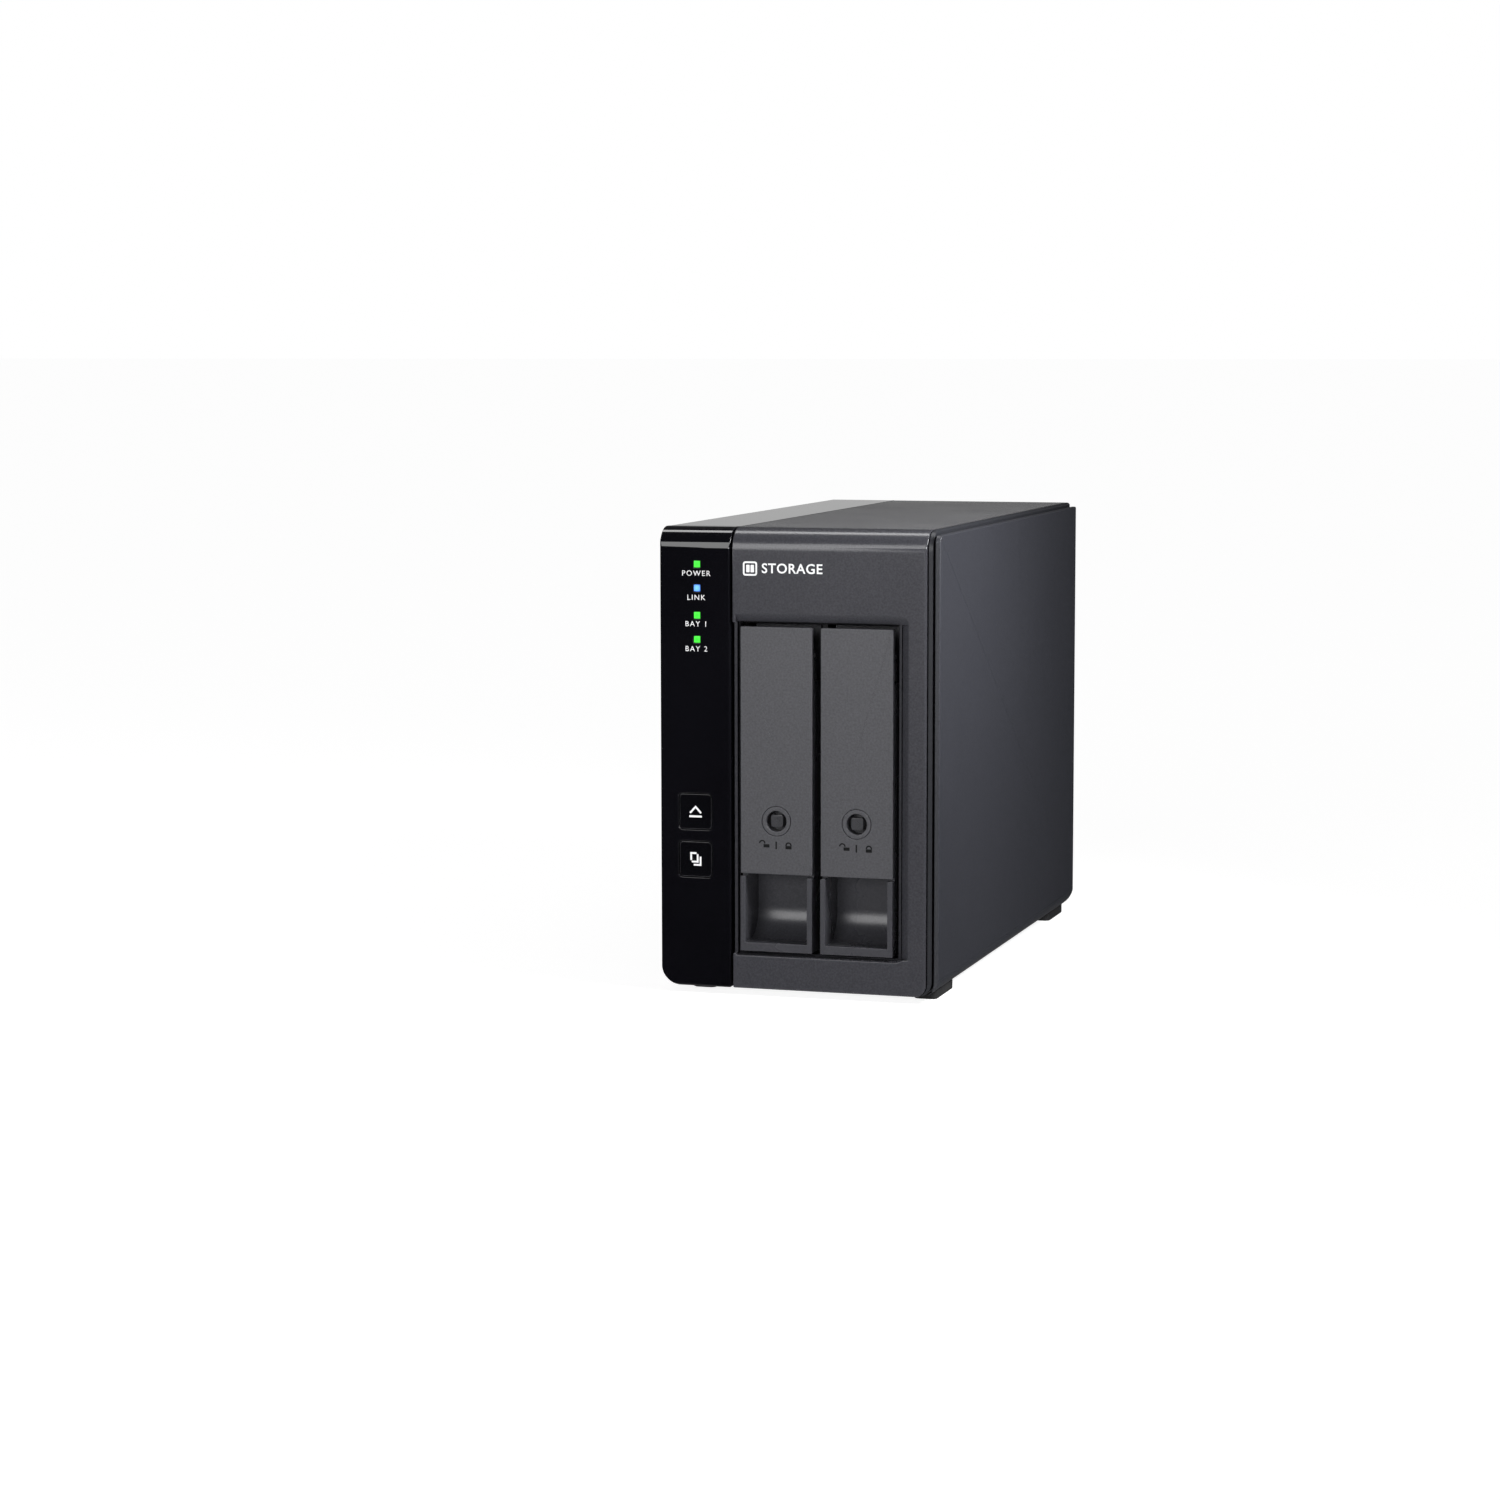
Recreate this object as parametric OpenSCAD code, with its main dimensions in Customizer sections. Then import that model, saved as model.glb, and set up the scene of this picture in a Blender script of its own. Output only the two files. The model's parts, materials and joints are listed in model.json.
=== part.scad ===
// Two-bay desktop storage enclosure with lockable pull-out drive trays.
// Origin at the middle of the footprint on the table, +Z up, the front faces -Y, millimetres.

/* [Housing] */
// Overall width, across the side covers
body_w = 102; // [102:0.5:106]
// Overall depth, front to back
body_d = 219; // [219:1:226]
// Overall height, from the table to the top
body_h = 165.5; // [165.5:0.5:170]
// Height of the rubber feet below the body
foot_h = 2.5; // [2:0.5:4]
// Radius where the front turns into the top
brow_r = 8; // [6:0.5:9]
// Radius of the two lower long edges
hem_r = 7.5; // [6:0.5:8]
// Thickness of the moulded walls
wall = 2.2; // [2:0.1:2.6]
// Depth of the front bezel, from the face to its seam
bezel_d = 10.7; // [10:0.1:12]
// X of the seam between the glossy and the matt half of the front
seam_x = -24.2; // [-24.6:0.1:-24]
// Length of a foot
foot_len = 25; // [18:1:28]

/* [Drive bays] */
// Width of a tray's face
tray_w = 26.2; // [26.1:0.1:26.3]
// Distance between the middles of the two trays
tray_pitch = 29.3; // [29.2:0.1:29.5]
// X of the middle of the first tray
tray_x = -8.4; // [-8.6:0.1:-8.2]
// Height of the bottom of a tray
tray_z0 = 16; // [15.9:0.1:16.2]
// Height of the top of a tray's face
tray_z1 = 131; // [130.8:0.1:131.2]
// Height of the lower edge of the long handle plate
plate_z0 = 43.6; // [42:0.2:46]
// Thickness of the handle plate
plate_t = 2.5; // [2:0.1:2.6]
// Width of the finger pocket
pocket_w = 22.6; // [20:0.2:23]
// Depth of the finger pocket behind the tray's face
pocket_d = 16; // [12:0.5:16]
// Radius of the pocket's rounded floor
pocket_r = 11; // [8:0.5:12]

/* [Locks] */
// Height of the lock's axis
lock_z = 62.5; // [60:0.5:66]
// Radius of the lock's ring
lock_r = 5.2; // [4.8:0.1:5.4]
// Radius of the lock's keyway
keyway_r = 3.7; // [3.4:0.1:3.9]
// Side of the square drive that the key fits over
lock_square = 4.3; // [4:0.1:4.6]

/* [Buttons and lamps] */
// X of the column of lamps
lamp_x = -37.2; // [-39:0.1:-36]
// Side of a lamp's lens
lamp_w = 2.2; // [1.8:0.1:2.6]
// X of the two front buttons
button_x = -38; // [-39:0.5:-37]
// Width of a front button
button_w = 12; // [11:0.5:12.5]
// Height of a front button
button_h = 12.5; // [11.5:0.5:13]
// Height of the middle of the eject button
eject_z = 65; // [63:0.5:70]
// Height of the middle of the set button
set_z = 48; // [44:0.5:49]
// Travel of the front buttons
button_travel = 0.6; // [0.3:0.1:0.6]

/* [Drives] */
// Thickness of a 3.5 inch drive
drive_t = 26.1; // [19.9:0.1:26.1]
// Length of a 3.5 inch drive
drive_l = 147; // [146:0.5:147]
// Width of a 3.5 inch drive
drive_w = 101.6; // [101.6:0.1:101.6]

/* [Fan and rear] */
// Side of the square fan
fan_w = 70; // [70:1:70]
// Thickness of the fan
fan_t = 15; // [12:1:16]
// Distance between the fan's screw holes
fan_pitch = 61.5; // [61.5:0.5:61.5]
// X of the fan's axis
fan_x = 9.5; // [9:0.5:10]
// Height of the fan's axis
fan_z = 96; // [92:0.5:100]
// Number of fan blades
blades = 7; // [5:1:9]
// Height of the USB-C port's middle
usb_z = 96; // [90:0.5:100]
// Height of the power inlet's middle
dc_z = 70; // [64:0.5:76]
// Height of the power button's middle
power_z = 143; // [140:0.5:144]
// Height of the mode switch bank's middle
mode_z = 119; // [114:0.5:122]
// Travel of a mode slider
slider_travel = 1.5; // [1:0.1:1.8]

/* [Hidden] */
$fn = 64;

eps = 0.01;
fine_fn = 96;

// The body's outline
x_l = -body_w / 2;
x_r = body_w / 2;
y_f = -body_d / 2;
y_b = body_d / 2;
z_b = foot_h;
z_t = body_h;
seam_y = y_f + bezel_d;
seam_gap = 0.1;
gloss_x1 = seam_x - 0.8;

// Stepped edges on the right: bezel, frame rim and side cover
bezel_x1 = x_r - 4.7;
rim_x0 = x_r - 4.3;
rim_x1 = x_r - 2.7;
cover_x0 = x_r - 1.9;
cover_top = z_t - 1.6;
cover_t = 1.9;
rim_set_back = 0.5;
cover_set_back = 0.3;

// Floor stack
floor_z0 = z_b + 2.1;
floor_z1 = floor_z0 + 2;
hem_x_l = -33.8;
hem_x_r = 38.2;
hem_gap = 0.2;
floor_half = x_r - 6.3;

// Bay opening in the bezel
bay_x0 = seam_x + 1.2;
bay_x1 = 35;
bay_z0 = tray_z0 - 1;
bay_z1 = tray_z1 + 1.45;
bevel_r = 4.8;
bevel_t = 3.1;
bevel_b = 0.7;
collar_t = 1.1;

// Tray geometry
tray_face_y = y_f + 0.5;
plate_y0 = y_f + 1;
plate_y1 = plate_y0 + plate_t;
block_y0 = plate_y1 + 0.3;
block_y1 = y_f + 18.5;
pivot_y = plate_y0 + 4.9;
pivot_z = tray_z1 - 10;
pin_r = 1;
knuckle_r = 2.1;
knuckle_half = 9;
ear_x0 = 9.4;
ear_x1 = 12.7;
rail_half = 12;
rail_h = 4.5;
rail_y1 = block_y1 + 0.5 + drive_l + 0.5;
drive_y0 = block_y1 + 0.5;
drive_y1 = drive_y0 + drive_l;
drive_z0 = (tray_z0 + tray_z1 - drive_w) / 2;
drive_z1 = drive_z0 + drive_w;
side_hole_back = 28.5;
side_hole_pitch = 101.6;
side_hole_r = 1.7;
side_hole_in = 6.35;

// Cage round the trays
cage_t = 1;
cage_x0 = bay_x0 - 1.6;
cage_x1 = bay_x1 + 2;
cage_z0 = 12;
cage_z1 = 135;
cage_y0 = seam_y + 1;
cage_y1 = 60.5;
flange_w = 6;
cage_screw_x = [cage_x0 - 3, cage_x1 + 3];
cage_screw_y = [-70, 40];
guide_gap = 0.4;
rib_h = 3;

// Boards
board_t = 1.6;
main_x1 = -29;
main_x0 = main_x1 - board_t;
main_y0 = -60;
main_y1 = 106;
main_z0 = 20;
main_z1 = 152;
main_hole_y = [-50, 50];
main_hole_z = [28, 126];
back_y0 = 61.5;
back_y1 = back_y0 + board_t;
front_y0 = y_f + 7.1;
front_y1 = front_y0 + board_t;
cap_back = y_f + 3.3;
sata_off = 6.5;
sata_z = 52;
sata_len = 40;

// Rear wall and what passes through it
rear_y0 = y_b - 3.3;
rear_y1 = rear_y0 + 1.2;
rear_x0 = x_l + 2.2;
rear_x1 = rim_x0 - 0.2;
rear_z1 = z_t - wall - 0.1;
fan_y1 = rear_y0 - 0.1;
fan_y0 = fan_y1 - fan_t;
hub_r = 13.5;
duct_r = fan_w / 2 - 1.5;
shaft_r = 1.5;
screw_r = 1.5;
boss_screw_x = 41;
boss_screw_z = [11.5, 157];
usb_x = main_x0 - 1.8;
usb_len = 8.94;
usb_thick = 3.26;
dc_x = main_x0 - 5.6;
dc_side = 11;
dc_bore_r = 3.1;
dc_pin_r = 1;
power_x = main_x0 - 6.5;
power_r = 4;
power_travel = 0.8;
play = 0.2;
button_foot = 1.6;
mode_x = main_x0 - 5;
mode_w = 5.4;
mode_h = 11;
mode_pitch = 3;
slot_x = -38;
slot_z = 34;

slider_len = 1.6;
slider_slot = (slider_len + slider_travel) / 2 + 0.35;

lamp_z = [152.6, 144.2, 134.6, 126.1];

// ---- Drawing helpers ----

// Extrudes a (Y, Z) outline along X
module along_x(x0, x1) {
    translate([x0, 0, 0]) rotate([90, 0, 90]) linear_extrude(x1 - x0) children();
}

// Extrudes an (X, Z) outline along Y
module along_y(y0, y1) {
    translate([0, y1, 0]) rotate([90, 0, 0]) linear_extrude(y1 - y0) children();
}

// Extrudes an (X, Y) outline along Z
module along_z(z0, z1) {
    translate([0, 0, z0]) linear_extrude(z1 - z0) children();
}

// What is cut away to round a corner that points along (sx, sy) inwards
module corner_cut(x, y, sx, sy, r) {
    if (r > 0) difference() {
        translate([sx > 0 ? x - 1 : x - r, sy > 0 ? y - 1 : y - r]) square(r + 1);
        translate([x + sx * r, y + sy * r]) circle(r);
    }
}

// Rectangle with its own radius at each corner: low-low, high-low, high-high, low-high
module panel(x0, y0, x1, y1, r = [0, 0, 0, 0]) {
    difference() {
        translate([x0, y0]) square([x1 - x0, y1 - y0]);
        corner_cut(x0, y0, 1, 1, r[0]);
        corner_cut(x1, y0, -1, 1, r[1]);
        corner_cut(x1, y1, -1, -1, r[2]);
        corner_cut(x0, y1, 1, -1, r[3]);
    }
}

module box(x0, x1, y0, y1, z0, z1) {
    translate([x0, y0, z0]) cube([x1 - x0, y1 - y0, z1 - z0]);
}

// Cylinders along each axis, from a to b
module rod_x(a, b, y, z, r) {
    translate([a, y, z]) rotate([0, 90, 0]) cylinder(h = b - a, r = r);
}

module rod_y(a, b, x, z, r) {
    translate([x, b, z]) rotate([90, 0, 0]) cylinder(h = b - a, r = r);
}

module rod_z(a, b, x, y, r) {
    translate([x, y, a]) cylinder(h = b - a, r = r);
}

// Side view of the housing, drawn in by a margin at the front and top
module side_view(margin = 0, front = y_f, r = brow_r) {
    panel(front + margin, z_b, y_b, z_t - margin, [0.8, 0.8, 1.2, r - margin]);
}

// ---- Housing ----

// Rounded square hole in the front, for a lamp or a button
module front_hole(x, z, w, h, r) {
    along_y(y_f - 1, y_f + 4) panel(x - w / 2, z - h / 2, x + w / 2, z + h / 2, [r, r, r, r]);
}

// Straight opening that slopes outwards to the face on its right, top and bottom
module bay_bevel() {
    along_z(bay_z0 + 0.4, bay_z1) polygon([
        [bay_x0, y_f - 1], [bay_x1 + bevel_r + 1, y_f - 1], [bay_x1 + bevel_r, y_f],
        [bay_x1, y_f + bevel_r], [bay_x0, y_f + bevel_r]
    ]);
}

// Slope over the whole top of the bay, and its sill
module bay_brow_and_sill() {
    hull() {
        along_y(y_f - eps, y_f) panel(bay_x0, bay_z0 - bevel_b, bay_x1 + bevel_r,
            bay_z1 + bevel_t, [0, 5, 3, 0]);
        along_y(y_f + bevel_t, y_f + bevel_t + eps) panel(bay_x0, bay_z0, bay_x1 + bevel_r - bevel_t,
            bay_z1, [0, 3, 1, 0]);
    }
}

module front_bezel() color("#2f3035") {
    difference() {
        intersection() {
            along_x(seam_x, bezel_x1) side_view();
            along_y(y_f, seam_y) panel(seam_x, z_b, bezel_x1, z_t, [0.5, 4.4, 0, 0]);
            along_z(z_b, z_t) panel(seam_x, y_f, bezel_x1, seam_y, [0.5, 1.1, 0, 0]);
        }
        // Hollow behind the face, open at the back
        along_x(seam_x + 1.1, bezel_x1 - wall)
            panel(y_f + 3, z_b + wall, seam_y + 1, z_t - wall, [0, 0, 0, brow_r - wall]);
        // Bay
        box(bay_x0, bay_x1, y_f - 1, seam_y + 1, bay_z0, bay_z1);
        bay_bevel();
        bay_brow_and_sill();
        // The left edge stands back behind the glossy panel's edge
        box(seam_x - 1, bay_x0 + eps, y_f - 1, y_f + 2.4, bay_z0, bay_z1);
    }
    // Collar that lines the bay behind the bevel
    difference() {
        box(bay_x0 - collar_t, bay_x1 + collar_t, y_f + 5.2, seam_y, bay_z0 - collar_t,
            bay_z1 + collar_t);
        box(bay_x0, bay_x1, y_f, seam_y + 1, bay_z0, bay_z1);
    }
}

module gloss_panel() color("#08080b") {
    gloss_t = 2.5;
    difference() {
        intersection() {
            along_x(x_l, gloss_x1) side_view();
            along_y(y_f, seam_y - seam_gap) panel(x_l, z_b, gloss_x1, z_t, [hem_r, 0.6, 0, 0]);
            along_z(z_b, z_t) panel(x_l, y_f, gloss_x1, seam_y, [1, 0.7, 0, 0]);
        }
        along_x(x_l + wall, gloss_x1 - 1.4)
            panel(y_f + gloss_t, z_b + 5.5, seam_y + 1, z_t - wall, [0, 0, 0, brow_r - wall]);
        along_y(y_f + gloss_t + 1, seam_y + 1)
            panel(x_l + wall, z_b + wall, gloss_x1 - 1.4, z_t - 20, [hem_r - wall, 0, 0, 0]);
        for (z = lamp_z) front_hole(lamp_x, z, lamp_w + 0.2, lamp_w + 0.2, 0.2);
        for (z = [eject_z, set_z]) front_hole(button_x, z, button_w + 0.5, button_h + 0.5, 1.6);
    }
}

// Hollow boss for a screw that comes from the rear, standing on the face at z_on
module rear_boss(x, z, z_on) {
    difference() {
        union() {
            rod_y(96, rear_y0 - 0.1, x, z, 3.2);
            box(x - 1.5, x + 1.5, 96, rear_y0 - 0.1, min(z, z_on), max(z, z_on));
        }
        rod_y(97, rear_y0 + 1, x, z, screw_r + 0.03);
    }
}

module top_cover() color("#34353a") {
    difference() {
        along_x(seam_x, rim_x0 - 0.05)
            panel(seam_y + seam_gap, z_t - wall, y_b, z_t, [0, 0, 1.2, 0]);
        // Shallow recess under the top, over the cage
        box(seam_x + 4, rim_x0 - 4, seam_y + 8, y_b - 12, z_t - wall - 1, z_t - wall + 0.4);
    }
    rear_boss(boss_screw_x, boss_screw_z[1], z_t - wall + 0.2);
}

module top_gloss_strip() color("#0a0a0e") {
    difference() {
        along_y(seam_y + 0.3, y_b) panel(x_l, z_t - wall, seam_x - 0.15, z_t, [0, 0, 0.3, 1]);
        box(x_l + 4, seam_x - 4, seam_y + 8, y_b - 12, z_t - wall - 1, z_t - wall + 0.4);
    }
    rear_boss(-boss_screw_x, boss_screw_z[1], z_t - wall + 0.2);
}

// Wall inside the right cover, whose front edge shows as a slim rim beside the bezel
module right_frame() color("#3a3b40") {
    intersection() {
        union() {
            // Rim round the bezel
            difference() {
                along_y(y_f + rim_set_back, seam_y) panel(bezel_x1 - 3.4, z_b, rim_x1, z_t,
                    [0, 5.6, 1, 0]);
                along_y(y_f, seam_y + 1) panel(bezel_x1 - 20, z_b - 1, rim_x0, z_t + 1,
                    [0, 5.9, 0, 0]);
            }
            // Wall behind it
            along_y(seam_y - eps, y_b) panel(rim_x0, z_b + 5.7, rim_x1, z_t, [0, 0, 1, 0]);
        }
        along_x(rim_x0 - 10, rim_x1) side_view(0, y_f + rim_set_back, brow_r - rim_set_back);
    }
}

// L-shaped cover: flat side, rounded lower edge and a strip of the underside
module right_side_cover() color("#2c2d33") {
    intersection() {
        difference() {
            union() {
                along_y(seam_y + 0.2, y_b) panel(hem_x_r, z_b, x_r, cover_top, [0, hem_r, 0.6, 0]);
                along_y(y_f, seam_y + 0.3)
                    panel(x_r - 6, z_b, x_r, cover_top, [0, hem_r, 0.6, 0]);
            }
            along_y(seam_y + 0.2, y_b + 1)
                panel(hem_x_r - 1, z_b + cover_t, cover_x0, z_t, [0, hem_r - cover_t, 0, 0]);
            along_y(y_f - 1, seam_y + 0.3) panel(0, z_b - 1, cover_x0, z_t, [0, 6.6, 0, 0]);
        }
        along_x(hem_x_r, x_r) panel(y_f + cover_set_back, z_b, y_b - 0.2, cover_top, [1, 8, 1, 3]);
        along_z(z_b, z_t) panel(hem_x_r, y_f + cover_set_back, x_r, y_b - 0.2, [0, 0.7, 0.7, 0]);
    }
}

module left_side_cover() color("#2c2d33") {
    intersection() {
        difference() {
            along_y(seam_y + 0.1, y_b)
                panel(x_l, z_b, hem_x_l, z_t - wall - 0.1, [hem_r, 0, 0, 0]);
            along_y(seam_y, y_b + 1)
                panel(x_l + cover_t, z_b + cover_t, hem_x_l + 1, z_t, [hem_r - cover_t, 0, 0, 0]);
        }
        along_x(x_l, hem_x_l) panel(seam_y + 0.1, z_b, y_b - 0.2, z_t, [0, 8, 1, 0]);
    }
}

module base_plate() color("#26272b") {
    vent_x = [for (i = [-2 : 2]) i * 12 + 2];
    difference() {
        union() {
            along_x(hem_x_l + hem_gap, hem_x_r - hem_gap)
                panel(seam_y + 0.2, z_b, rear_y0 - 0.1, floor_z0 + 0.2, [0, 1.6, 0, 0]);
            box(-floor_half, floor_half, seam_y + 0.2, rear_y0 - 0.1, floor_z0, floor_z1);
            for (x = cage_screw_x, y = cage_screw_y) rod_z(floor_z1 - 0.2, cage_z0, x, y, 3.4);
        }
        for (x = vent_x, y = [-40, 20, 75]) translate([x, y, 0])
            along_z(z_b - 1, floor_z1 + 1) panel(-1.3, -15, 1.3, 15, [1.2, 1.2, 1.2, 1.2]);
        for (x = cage_screw_x, y = cage_screw_y) rod_z(floor_z0, cage_z0 + 1, x, y, screw_r + 0.03);
    }
    for (x = [-boss_screw_x, boss_screw_x]) rear_boss(x, boss_screw_z[0], floor_z1 - 0.2);
}

// Pad that follows the rounded lower edge above it
module foot(x0, x1, y0) {
    difference() {
        along_z(0, z_b + 3) panel(x0, y0, x1, y0 + foot_len, [2, 2, 2, 2]);
        along_y(y0 - 1, y0 + foot_len + 1) panel(x_l, z_b, x_r, 40, [hem_r, hem_r, 0, 0]);
    }
}

module rubber_feet() color("#141416") {
    for (y0 = [-98, 82]) {
        foot(-43, -34.5, y0);
        foot(38.8, 47.2, y0);
    }
}

// Ring slots of the fan guard
module fan_guard_slots() {
    difference() {
        for (r = [10 : 4.6 : 30]) difference() {
            circle(r + 3.1, $fn = fine_fn);
            circle(r, $fn = fine_fn);
        }
        for (a = [0 : 45 : 135]) rotate(a + 22.5) square([80, 1.6], center = true);
    }
}

module rear_panel() color("#2a2b2f") {
    difference() {
        along_y(rear_y0, rear_y1) panel(rear_x0, floor_z0 + 1, rear_x1, rear_z1, [hem_r - 2, 1, 1, 1]);
        along_y(rear_y0 - 1, rear_y1 + 1) translate([fan_x, fan_z]) fan_guard_slots();
        for (dx = [-1, 1], dz = [-1, 1])
            rod_y(rear_y0 - 1, rear_y1 + 1, fan_x + dx * fan_pitch / 2, fan_z + dz * fan_pitch / 2, 2.2);
        for (x = [-boss_screw_x, boss_screw_x], z = boss_screw_z)
            rod_y(rear_y0 - 1, rear_y1 + 1, x, z, screw_r + 0.2);
        rod_y(rear_y0 - 1, rear_y1 + 1, power_x, power_z, power_r + 0.3);
        rod_y(rear_y0 - 1, rear_y1 + 1, dc_x, dc_z, dc_bore_r + 1.3);
        along_y(rear_y0 - 1, rear_y1 + 1) translate([usb_x, usb_z]) usb_outline(0.25);
        box(mode_x - mode_w / 2 - 0.2, mode_x + mode_w / 2 + 0.2, rear_y0 - 1, rear_y1 + 1,
            mode_z - mode_h / 2 - 0.2, mode_z + mode_h / 2 + 0.2);
        along_y(rear_y0 - 1, rear_y1 + 1) panel(slot_x - 3.5, slot_z - 1.5, slot_x + 3.5,
            slot_z + 1.5, [1.2, 1.2, 1.2, 1.2]);
    }
}

// ---- Cage and guides ----

module drive_cage() color("#9a9ca0") {
    difference() {
        union() {
            difference() {
                box(cage_x0, cage_x1, cage_y0, cage_y1, cage_z0, cage_z1);
                box(cage_x0 + cage_t, cage_x1 - cage_t, cage_y0 - 1, cage_y1 + 1,
                    cage_z0 + cage_t, cage_z1 - cage_t);
            }
            box(cage_x0 - flange_w, cage_x0 + cage_t, cage_y0 + 8, cage_y1, cage_z0, cage_z0 + cage_t);
            box(cage_x1 - cage_t, cage_x1 + flange_w, cage_y0 + 8, cage_y1, cage_z0, cage_z0 + cage_t);
            for (y = main_hole_y, z = main_hole_z) rod_x(main_x1 + 0.02, cage_x0 + 0.2, y, z, 2.8);
        }
        for (y = main_hole_y, z = main_hole_z) rod_x(main_x1 - 1, cage_x0 + 2, y, z, screw_r + 0.03);
        for (x = cage_screw_x, y = cage_screw_y) rod_z(cage_z0 - 1, cage_z0 + 2, x, y, screw_r + 0.2);
        // Airflow windows in both sides
        for (y = [-72, -12], z = [34, 64, 94]) box(cage_x0 - 1, cage_x1 + 1, y, y + 46, z, z + 20);
    }
}

// Slab from z_base to z_face with ribs up to z_tip, which keep the two trays apart
module guide(z_base, z_face, z_tip) {
    x0 = cage_x0 + cage_t + 0.1;
    x1 = cage_x1 - cage_t - 0.1;
    edge = tray_w / 2 + 0.5;
    mid = tray_x + tray_pitch / 2;
    box(x0, x1, cage_y0 + 0.5, cage_y1 - 0.5, min(z_base, z_face), max(z_base, z_face));
    for (span = [[x0, tray_x - edge], [mid - 1.05, mid + 1.05], [tray_x + tray_pitch + edge, x1]])
        box(span[0], span[1], cage_y0 + 0.5, cage_y1 - 0.5, min(z_base, z_tip), max(z_base, z_tip));
}

module lower_guide() color("#1d1e21") {
    face = tray_z0 - guide_gap;
    guide(cage_z0 + cage_t + 0.1, face, face + rib_h);
}

module upper_guide() color("#1d1e21") {
    face = tray_z1 + guide_gap;
    guide(cage_z1 - cage_t - 0.1, face, face - rib_h);
}

// ---- Lamps, buttons and the front board ----

module lamp(z) {
    box(lamp_x - lamp_w / 2, lamp_x + lamp_w / 2, y_f + 0.05, y_f + 5, z - lamp_w / 2, z + lamp_w / 2);
    box(lamp_x - lamp_w / 2 - 0.6, lamp_x + lamp_w / 2 + 0.6, y_f + 2.6, y_f + 3.6,
        z - lamp_w / 2 - 0.6, z + lamp_w / 2 + 0.6);
}

module status_lamp() color("lime") lamp(lamp_z[0]);

module link_lamp() color("dodgerblue") lamp(lamp_z[1]);

module drive_lamp_1() color("lime") lamp(lamp_z[2]);

module drive_lamp_2() color("lime") lamp(lamp_z[3]);

module lamp_emitters() color("ivory") {
    for (z = lamp_z) box(lamp_x - 1.6, lamp_x + 1.6, y_f + 5.4, front_y0 - 0.02, z - 1.4, z + 1.4);
}

// Cap with a flange behind the panel and a short stem over its switch
module button_cap(z) {
    r = 1.4;
    along_y(y_f + 0.25, y_f + 3.1) panel(button_x - button_w / 2, z - button_h / 2,
        button_x + button_w / 2, z + button_h / 2, [r, r, r, r]);
    box(button_x - button_w / 2 - 1, button_x + button_w / 2 + 1, y_f + 2.6, cap_back,
        z - button_h / 2 - 1, z + button_h / 2 + 1);
}

module eject_button() color("#050507") button_cap(eject_z);

module set_button() color("#050507") button_cap(set_z);

module button_switches() color("#45464a") {
    for (z = [eject_z, set_z]) {
        box(button_x - 3, button_x + 3, front_y0 - 2.2, front_y0 - 0.02, z - 3, z + 3);
        rod_y(cap_back + button_travel + play, front_y0 - 2, button_x, z, 1.6);
    }
}

module front_board() color("#1c5a34") {
    box(x_l + 4, seam_x - 4, front_y0, front_y1, 38, 158);
}

module front_ribbon() color("#e8e6df") {
    box(main_x0 - 2.6, main_x0 - 2.2, front_y1 + 3, main_y0 + 2, 84, 96);
}

module ribbon_connectors() color("#ece9e0") {
    box(main_x0 - 4.4, main_x0 - 0.4, front_y1 + 0.02, front_y1 + 2.95, 82, 98);
    box(main_x0 - 4.4, main_x0 - 0.02, main_y0 + 2.05, main_y0 + 7, 82, 98);
}

// ---- Main electronics ----

module main_board() color("#1c5a34") {
    difference() {
        box(main_x0, main_x1, main_y0, main_y1, main_z0, main_z1);
        for (y = main_hole_y, z = main_hole_z) rod_x(main_x0 - 1, main_x1 + 1, y, z, screw_r + 0.2);
    }
}

module controller_chip() color("#222226") {
    box(main_x0 - 1.4, main_x0 - 0.02, 0, 26, 78, 104);
    box(main_x0 - 1.2, main_x0 - 0.02, 36, 46, 96, 110);
    box(main_x0 - 1.2, main_x0 - 0.02, 36, 46, 76, 90);
}

module heatsink() color("#b9bcc0") {
    x1 = main_x0 - 1.45;
    box(x1 - 2, x1, -5, 31, 73, 109);
    for (i = [0 : 7]) box(x1 - 9, x1 - 1.9, -5, 31, 73 + i * 5, 74 + i * 5);
}

module backplane_board() color("#1c5a34") {
    difference() {
        box(main_x1 + 0.1, bay_x1 + 0.5, back_y0, back_y1, 20, 128);
        for (x = [-18, 11]) box(x, x + 13, back_y0 - 1, back_y1 + 1, 84, 120);
    }
}

// Drive sockets on the front of the backplane and the link to the main board behind it
module sata_connectors() color("#151517") {
    for (c = [tray_x, tray_x + tray_pitch]) {
        box(c + sata_off - 2.6, c + sata_off + 2.6, drive_y1 + 0.4, back_y0 - 0.02, sata_z - sata_len / 2,
            sata_z + sata_len / 2);
        box(c + sata_off - 0.6, c + sata_off + 0.6, drive_y1 - 4, drive_y1 + 0.5,
            sata_z - sata_len / 2 + 3, sata_z + sata_len / 2 - 3);
    }
    box(main_x1 + 0.02, main_x1 + 6, back_y1 + 0.02, back_y1 + 6, 60, 92);
}

// ---- Rear ports and switches ----

module usb_outline(grow) {
    half = usb_len / 2 - usb_thick / 2;
    r = usb_thick / 2 + grow;
    translate([-r, -half]) square([2 * r, 2 * half]);
    for (s = [-1, 1]) translate([0, s * half]) circle(r);
}

module usb_port() color("#c4c6c9") {
    difference() {
        along_y(rear_y1 - 8.2, rear_y1 + 0.3) translate([usb_x, usb_z]) usb_outline(0);
        along_y(rear_y1 - 6.6, rear_y1 + 1) translate([usb_x, usb_z]) usb_outline(-0.33);
    }
    box(usb_x - 0.35, usb_x + 0.35, rear_y1 - 7, rear_y1 - 0.4, usb_z - 3.3, usb_z + 3.3);
}

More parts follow.
